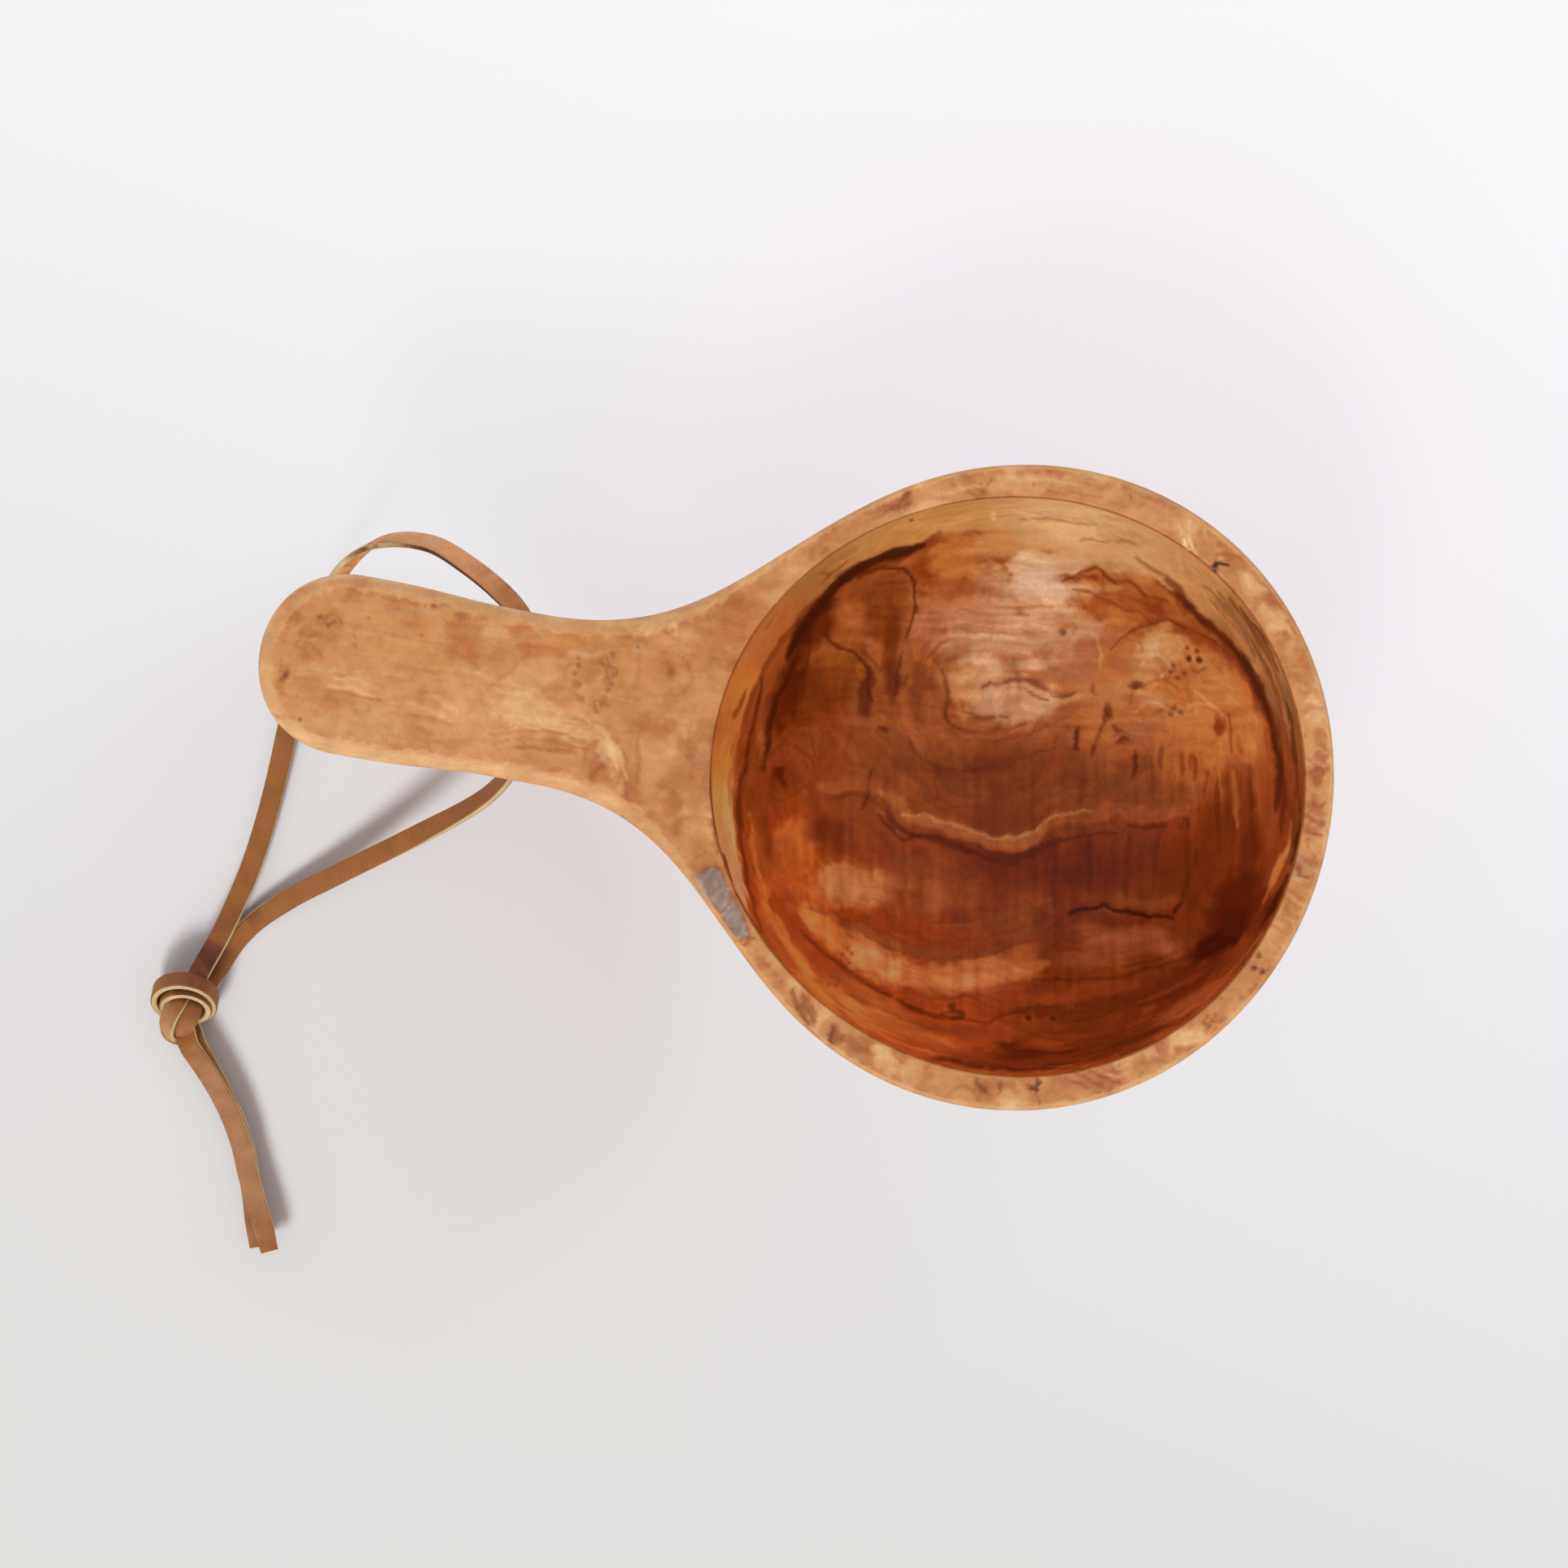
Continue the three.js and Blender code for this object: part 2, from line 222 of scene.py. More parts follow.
OUTSIDE, TOP, HOLLOW = 0, 1, 2  # the cup's regions, each painted in its own way


def smoothstep(x, a, b):
    t = np.clip((x - a) / (b - a), 0, 1)
    return t * t * (3 - 2 * t)


def way_along(line):
    """The length of a line up to each of its points."""
    return np.concatenate(([0], np.cumsum(np.linalg.norm(np.diff(line, axis=0), axis=1))))


def cup_gap(x, y, z):
    """How far points lie outside the cup, before its top edge is rounded: below zero inside it."""
    up = z / CUP_HEIGHT
    angle = np.arctan2(y, x)
    wave = (RIM_SHIFT * np.cos(angle) + RIM_OVAL * np.cos(2 * (angle - math.radians(RIM_OVAL_TURN)))
            + RIM_LOBES * np.cos(3 * (angle - math.radians(RIM_LOBES_TURN))))
    bowl = (np.hypot(x, y) - FOOT_RADIUS - up * wave
            - (RIM_RADIUS - FOOT_RADIUS) * np.sqrt(np.maximum(0, 1 - (1 - up) ** 2)))
    share = smoothstep(z, CUP_HEIGHT - TOP_THICKNESS - UNDERCUT, CUP_HEIGHT - TOP_THICKNESS)
    rise = np.clip((z - ROOT_HEIGHT) / (NOSE - ROOT_HEIGHT), 0, 1)
    swell = (1 - (1 - rise) ** KEEL_POWER) ** (1 / KEEL_POWER)
    tip = ROOT_REACH + (REACH - ROOT_REACH) * swell
    rest = (WAIST + (END - WAIST) * smoothstep(-x, WAIST_AT, END_AT)) / 2
    half = KEEL / 2 * (1 - share) + rest * share
    beyond = np.maximum(0, np.maximum(x, -x - (tip - half)))
    handle = (beyond ** END_POWER + np.abs(y) ** END_POWER) ** (1 / END_POWER) - half
    neck = RIGHT_NECK + (LEFT_NECK - RIGHT_NECK) * smoothstep(y, -WAIST / 2, WAIST / 2)
    blend = KEEL_BLEND * (1 - share) + neck * share
    near = np.maximum(0, blend - np.abs(bowl - handle)) / blend
    return np.minimum(bowl, handle) - near * near * blend / 4


def on_rays(angles, z, turn):
    """Points of the cup's outside on rays from the bowl's axis, at one level."""
    inside, outside = np.zeros_like(angles), np.full_like(angles, 1.2 * REACH)
    quarter = turn * math.pi / 2

    def edge_at(r):
        return RIM_EDGE + (HANDLE_EDGE - RIM_EDGE) * smoothstep(-r * np.cos(angles), EDGE_AT - EDGE_LENGTH, EDGE_AT)

    for _ in range(40):
        r = (inside + outside) / 2
        within = cup_gap(r * np.cos(angles), r * np.sin(angles), z) + edge_at(r) * (1 - math.cos(quarter)) < 0
        inside, outside = np.where(within, r, inside), np.where(within, outside, r)
    edge = edge_at(inside)
    level = np.minimum(z, CUP_HEIGHT - edge) + edge * math.sin(quarter)
    return np.stack((inside * np.cos(angles), inside * np.sin(angles), level), axis=1)


def half_outline(z, turn, side):
    """One side of the cup's outline at a level, with even steps along its handle."""
    on_bowl, on_handle = 96, 112
    start = math.radians(130)
    bowl = on_rays(side * np.linspace(0, start, on_bowl, endpoint=False), z, turn)
    left = (1 - np.linspace(0, 1, 900)) ** 2
    traced = on_rays(side * (math.pi - (math.pi - start) * left), z, turn)
    way = way_along(traced)
    even = np.linspace(0, way[-1], on_handle + 1)
    handle = np.stack([np.interp(even, way, traced[:, i]) for i in range(3)], axis=1)
    half = np.vstack((bowl, handle))
    half[0, 1] = half[-1, 1] = 0
    return half


def outline(z, turn):
    return np.vstack((half_outline(z, turn, 1), half_outline(z, turn, -1)[1:-1][::-1]))


def hollow_point(s, theta):
    """The hollow's surface. s runs from 0 in the middle of its floor to 1 at the rim."""
    angle = s * math.pi / 2
    across = np.sin(angle) ** (2 / SQUARENESS)
    up = 1 - np.maximum(0, np.cos(angle)) ** (2 / SQUARENESS)
    radius = (RIM_RADIUS - RIM_WALL - WALL_DRAFT * (1 - up)) * across
    carved = STRETCH * np.cos(2 * theta) - LOBES * np.cos(3 * theta)
    out = radius + up * carved * radius / (RIM_RADIUS - RIM_WALL)
    return np.stack((out * np.cos(theta) - up * SHIFT, out * np.sin(theta),
                     FLOOR + (CUP_HEIGHT - FLOOR) * up), axis=-1)


def stitched(rings, grid):
    """Triangles inside closed rings of 2D points, with grid points in between."""
    points, edges = [], []
    for ring in rings:
        n = len(points)
        points += [Vector(p) for p in ring]
        edges += [(n + i, n + (i + 1) % len(ring)) for i in range(len(ring))]
    points += [Vector(p) for p in grid]
    found, _, faces, _, _, _ = delaunay_2d_cdt(points, edges, [], 0, 1e-7, False)
    return np.array(found), np.array([list(f) for f in faces])


def joined(rings, points):
    """Quads that join closed rings, each of so many points."""
    return [(k * points + i, k * points + (i + 1) % points, (k + 1) * points + (i + 1) % points, (k + 1) * points + i)
            for k in range(rings - 1) for i in range(points)]


def tube(name, rings, start_first=False):
    """A closed object from rings of points. The face over its start comes first, or else after its sides."""
    count, points = len(rings), len(rings[0])
    faces = [*joined(count, points), range((count - 1) * points, count * points)]
    faces.insert(0 if start_first else -1, range(points)[::-1])
    mesh = bpy.data.meshes.new(name)
    mesh.from_pydata((np.vstack(rings) * MM).tolist(), [], [list(f) for f in faces])
    outward = bmesh.new()
    outward.from_mesh(mesh)
    bmesh.ops.recalc_face_normals(outward, faces=outward.faces)
    outward.to_mesh(mesh)
    outward.free()
    return added(name, mesh)


def inside_polygon(points, polygon):
    x, y = points[:, 0], points[:, 1]
    result = np.zeros(len(points), bool)
    for (x0, y0), (x1, y1) in zip(polygon, np.roll(polygon, -1, axis=0)):
        crosses = (y0 > y) != (y1 > y)
        if y0 != y1:
            result ^= crosses & (x < (x1 - x0) * (y - y0) / (y1 - y0) + x0)
    return result


def hex_grid(low, high, step):
    lines = []
    for j, y in enumerate(np.arange(low[1], high[1], step * 0.866)):
        xs = np.arange(low[0], high[0], step) + (step / 2 if j % 2 else 0)
        lines.append(np.stack((xs, np.full_like(xs, y)), axis=1))
    return np.vstack(lines)


def ring_clearance(points, ring):
    """Distance from points to the nearest of a ring's points."""
    best = np.full(len(points), 1e9)
    for chunk in np.array_split(ring, max(1, len(ring) // 64)):
        d = np.linalg.norm(points[:, None, :] - chunk[None], axis=2).min(axis=1)
        best = np.minimum(best, d)
    return best


def squircle(t, power):
    """A rounded square, from -1 to 1 both ways."""
    return [np.sign(w) * np.abs(w) ** (2 / power) for w in (np.sin(t), np.cos(t))]


def outer_block():
    """The outside of the cup as a closed mesh, its finger hole cut through, and its top ring."""
    rest_root, rest = CUP_HEIGHT - TOP_THICKNESS - UNDERCUT, CUP_HEIGHT - TOP_THICKNESS
    last = math.acos(1 - rest_root / CUP_HEIGHT)
    levels = [(CUP_HEIGHT * (1 - math.cos(a)), 0) for a in np.linspace(0, last, 44)]
    levels += [(z, 0) for z in np.linspace(rest_root, rest, 13)[1:]]
    edge_levels = 9
    levels += [(CUP_HEIGHT, t) for t in np.linspace(0, 1, edge_levels)]
    rings = [outline(z, t) for z, t in levels]
    # a few more rings on the straight stretch under the rounded edge
    low, high = rings[-edge_levels - 1], rings[-edge_levels]
    rings[-edge_levels:-edge_levels] = [low * (1 - t) + high * t for t in (0.25, 0.5, 0.75)]
    block = tube("cup_block", rings, start_first=True)

    rounding = np.linspace(0, math.pi / 2, 11)
    mouth = [(KEEL / 2 - HOLE_ROUND + HOLE_ROUND * math.sin(a), HOLE_ROUND * (1 - math.cos(a))) for a in rounding]
    mouth.append((END / 2 + 0.3, HOLE_ROUND))
    t = np.linspace(0, 2 * math.pi, 180, endpoint=False)
    along, up = squircle(t, HOLE_POWER)
    cutter = tube("hole_cutter", [
        np.stack((-HOLE_AT + (HOLE_LENGTH / 2 + spread) * along, np.full_like(t, y),
                  HOLE_HEIGHT + (HOLE_RISE / 2 + spread) * up), axis=1)
        for y, spread in [(-y, spread) for y, spread in mouth[::-1]] + mouth], start_first=True)
    cut = block.modifiers.new("hole", "BOOLEAN")
    cut.operation = "DIFFERENCE"
    cut.solver = "EXACT"
    cut.object = cutter
    done = bpy.data.meshes.new_from_object(block.evaluated_get(bpy.context.evaluated_depsgraph_get()))
    bpy.data.objects.remove(cutter)
    bpy.data.objects.remove(block)
    return done, rings[-1]


def build_cup():
    """The cup as one mesh, fine enough to paint on."""
    block, top_ring = outer_block()
    bm = bmesh.new()
    bm.from_mesh(block)
    bpy.data.meshes.remove(block)
    region = bm.verts.layers.float.new("region")
    for f in [f for f in bm.faces if all(v.co.z > (CUP_HEIGHT - 1e-3) * MM for v in f.verts)]:
        bm.faces.remove(f)

    # the hollow's mouth: a small quarter round down from the top
    mouth_points, lip_points, wall_top = 420, 5, 0.988
    theta = np.linspace(0, 2 * math.pi, mouth_points, endpoint=False)
    mouth = hollow_point(np.ones(mouth_points), theta)
    outward = mouth[:, :2] + (SHIFT, 0)
    outward /= np.linalg.norm(outward, axis=1)[:, None]
    rounding = []
    for a in np.linspace(0, math.pi / 2, lip_points):
        level = np.full(mouth_points, CUP_HEIGHT - INNER_EDGE * (1 - math.cos(a)))
        rounding.append(np.column_stack((mouth[:, :2] + outward * INNER_EDGE * (1 - math.sin(a)), level)))

    # the flat top
    outer, inner = top_ring[:, :2], rounding[0][:, :2]
    spacing, clear = 0.5, 0.36
    grid = hex_grid(outer.min(axis=0), outer.max(axis=0), spacing)
    grid = grid[inside_polygon(grid, outer) & ~inside_polygon(grid, inner)]
    grid = grid[(ring_clearance(grid, outer) > clear) & (ring_clearance(grid, inner) > clear)]
    found, faces = stitched((outer, inner), grid)
    centre = found[faces].mean(axis=1)
    faces = faces[inside_polygon(centre, outer) & ~inside_polygon(centre, inner)]
    top = np.column_stack((found, np.full(len(found), CUP_HEIGHT)))

    # the hollow, from a flat disc whose radius is the way along the surface, finer on the floor than on the wall
    s = np.linspace(0, wall_top, 600)
    way = way_along(hollow_point(s, np.zeros_like(s)))
    whole, fine_to = way[-1], 45
    fine = hex_grid((-fine_to - 1, -fine_to - 1), (fine_to + 1, fine_to + 1), 0.47)
    coarse = hex_grid((-whole, -whole), (whole, whole), 0.85)
    reach = np.linalg.norm(coarse, axis=1)
    grid = np.vstack((fine[np.linalg.norm(fine, axis=1) < fine_to],
                      coarse[(reach > fine_to + 0.4) & (reach < whole - 0.5)]))
    spots, hollow_faces = stitched([whole * np.stack((np.cos(theta), np.sin(theta)), axis=1)], grid)
    bowl = hollow_point(np.interp(np.linalg.norm(spots, axis=1), way, s), np.arctan2(spots[:, 1], spots[:, 0]))

    def add(verts, faces, part):
        made = [bm.verts.new((v * MM).tolist()) for v in verts]
        for v in made:
            v[region] = part
        for face in faces:
            bm.faces.new([made[int(i)] for i in face])
        return made

    add(top, faces, TOP)
    rings = np.vstack(rounding + [hollow_point(np.full(mouth_points, wall_top), theta)])
    for v in add(rings, joined(lip_points + 1, mouth_points), TOP)[-mouth_points:]:
        v[region] = HOLLOW
    add(bowl, hollow_faces, HOLLOW)
    bmesh.ops.remove_doubles(bm, verts=bm.verts, dist=2e-6)
    bmesh.ops.recalc_face_normals(bm, faces=bm.faces)
    mesh = bpy.data.meshes.new("cup_burl")
    bm.to_mesh(mesh)
    bm.free()
    mesh.shade_smooth()
    mesh.set_sharp_from_angle(angle=math.radians(38))
    return added("cup_burl", mesh)


cup = build_cup()

# The colours that the painting names, with channels from 0 to 255.
PALETTE = {
    "black": (36, 12, 5), "ink": (58, 19, 6), "dark": (88, 34, 12), "umber": (116, 53, 21), "rust": (142, 62, 28),
    "brown": (152, 85, 41), "clay": (176, 102, 55), "orange": (194, 108, 48), "amber": (202, 128, 62),
    "gold": (205, 148, 86), "olive": (182, 128, 74), "moss": (126, 88, 50), "tan": (203, 143, 90),
    "sand": (214, 160, 106), "cream": (228, 186, 134), "pale": (244, 216, 172), "pink": (196, 132, 96),
    "rose": (178, 102, 66), "mauve": (130, 68, 40), "grey": (150, 122, 102), "ash": (186, 160, 132),
    "hide": (158, 99, 45), "fawn": (226, 162, 112), "calf": (174, 122, 82), "tobacco": (84, 34, 10),
    "straw": (212, 166, 110), "bronze": (160, 114, 62), "saddle": (138, 82, 46), "chamois": (210, 190, 146),
    "wax": (108, 76, 46),
}

# Soft dabs of colour, laid one over the other, as the picture of the cup from above shows them:
# colour, place, half length, half width, turn in degrees, strength. Lengths are pixels of that picture.
TOP_DABS = """
tan 600 840 330 150 8 1; sand 520 832 130 44 8 .5; straw 660 862 90 46 10 .5; straw 450 890 110 26 8 .5; tan 1250 968
460 460 0 1; sand 590 890 120 40 12 .55; amber 500 810 70 34 10 .45; sand 357 810 22 16 0 .6; sand 388 824 24 9 10 .6;
rose 349 742 20 36 40 .45; clay 426 722 34 7 5 .5; clay 380 798 20 30 0 .4; mauve 351 833 6 9 10 .85; clay 345 850 9
14 0 .6; clay 412 862 26 14 12 .6; rose 402 858 10 7 0 .35; clay 405 764 20 11 20 .45; amber 500 762 40 10 14 .5; clay
569 776 16 22 30 .4; orange 578 796 14 24 50 .35; cream 611 784 20 14 0 .55; orange 637 774 17 10 10 .5; orange 662
806 34 9 2 .5; gold 614 832 9 30 50 .4; sand 560 862 34 10 32 .6; cream 648 874 60 22 6 .6; clay 520 902 26 7 18 .45;
clay 563 918 20 10 12 .4; cream 523 936 22 7 14 .5; clay 680 952 14 8 0 .5; amber 692 850 16 26 0 .55; amber 700 790
40 14 -8 .5; cream 730 806 26 5 -6 .35; cream 684 846 20 18 0 .4; cream 700 900 46 16 20 .65; clay 678 919 26 10 6
.25; cream 752 931 14 40 -28 .7; clay 736 954 10 24 0 .45; amber 786 940 9 42 2 .6; sand 800 962 14 34 0 .5; clay 825
988 20 16 0 .6; clay 801 896 24 16 -20 .6; clay 848 919 16 14 0 .6; clay 825 858 14 18 0 .25; rose 890 773 34 13 -20
.55; rose 867 815 20 18 0 .35; rose 859 944 30 44 0 .3; ash 794 800 14 4 4 .5; clay 909 738 50 12 -26 .35; sand 809
1031 28 16 40 .5; sand 850 1040 12 44 0 .35; amber 760 760 60 6 -3 .35; sand 745 985 40 8 30 .35; amber 840 800 26 16
0 .3; pink 940 800 18 60 24 .3; sand 937 703 44 7 -26 .45; rose 1030 663 34 8 -28 .45; sand 970 700 40 7 -28 .3; brown
1116 611 11 8 -30 .9; brown 1095 624 26 9 -24 .45; clay 1075 630 26 6 -24 .4; cream 1136 622 16 5 -16 .7; sand 1170
600 30 8 -12 .6; clay 1222 588 26 6 -4 .5; sand 1262 601 40 6 0 .6; clay 1290 583 34 5 2 .4; clay 1347 597 38 6 10
.55; sand 1385 612 30 6 16 .5; rose 1437 653 22 9 30 .55; sand 1425 622 26 7 24 .5; cream 1468 655 8 22 14 .6; rose
1517 683 20 14 40 .5; cream 1500 674 13 7 40 .35; cream 1541 722 12 18 -40 .5; rose 1556 718 6 18 -50 .7; cream 1572
760 10 26 -28 .75; sand 1590 790 9 24 -24 .6; orange 1609 824 6 20 -18 .7; sand 1602 850 9 14 0 .5; cream 1620 872 8
20 -6 .6; rose 1626 935 15 46 0 .85; rust 1630 960 8 16 0 .35; rose 1622 1010 13 36 8 .75; ash 1602 1073 9 10 14 .75;
tan 1594 1110 18 16 16 .6; clay 1590 1120 8 20 20 .5; tan 1556 1180 24 14 -50 .7; sand 1530 1240 22 12 -45 .6; orange
1497 1270 16 9 -40 .4; cream 1465 1281 32 11 -32 .85; clay 1432 1286 12 13 0 .4; rose 1415 1308 26 11 -25 .55; cream
1421 1300 7 8 0 .6; rose 1350 1331 44 13 -12 .65; clay 1302 1330 12 18 0 .5; cream 1252 1350 30 9 -2 .8; clay 1216
1339 16 13 0 .5; sand 1160 1333 30 9 10 .5; cream 1040 1287 50 8 33 .4; clay 1104 1304 15 13 20 .6; brown 990 1242 20
14 60 .6; cream 1008 1262 10 12 30 .5; brown 1027 1276 8 15 20 .65; clay 1043 1280 8 12 20 .5; cream 1075 1297 22 8 24
.6; sand 950 1205 26 10 56 .5; clay 940 1180 12 9 40 .4; amber 915 1170 16 5 55 .5; cream 604 770 30 8 8 .35; orange
640 772 24 9 6 .4; clay 646 806 7 16 0 .45; brown 690 848 18 14 0 .3; brown 738 826 18 16 0 .3; brown 350 832 8 14 10
.4; clay 372 806 16 18 0 .35; sand 1250 592 66 9 -2 .65; tan 1486 664 16 14 0 .5; sand 1625 898 8 24 0 .4; tan 1250
1347 32 8 0 .6; clay 1052 1290 22 10 30 .5; tan 1030 660 36 9 -28 .5; sand 1556 850 5 30 -20 .4; sand 1420 642 30 6 20
.35; rose 1626 925 13 62 0 .35; brown 1045 1288 44 14 30 .35; clay 1262 1342 62 10 0 .35; sand 1262 593 72 10 0 .45;
tan 1024 668 38 11 -28 .45; orange 902 782 44 24 -25 .3; orange 790 826 60 34 0 .2; cream 981 1212 9 20 60 .6; cream
962 1190 20 8 55 .5; cream 1014 1254 8 16 40 .7; cream 1086 1303 26 12 28 .7; straw 1122 1322 30 10 18 .5; pink 1160
1332 34 12 10 .35; cream 1240 1350 18 8 0 .6; cream 1262 1342 8 10 0 .5; brown 988 1240 8 22 30 .5; brown 1000 1262 6
12 30 .5; brown 1028 1280 6 14 12 .6; clay 1049 1282 5 12 10 .5; clay 1112 1310 6 10 20 .5; straw 470 842 110 56 8 .3;
cream 1560 762 10 22 -34 .5; straw 1586 800 9 26 -24 .5; cream 1612 884 12 14 0 .5; straw 700 884 60 22 12 .3; cream
1250 592 70 10 0 .2; clay 1480 660 22 12 40 .15; clay 1520 1240 30 14 -50 .15; clay 1250 1345 60 12 0 .12; clay 420
800 40 30 0 .15; clay 868 905 26 30 0 .25; straw 790 940 20 30 0 .3
"""
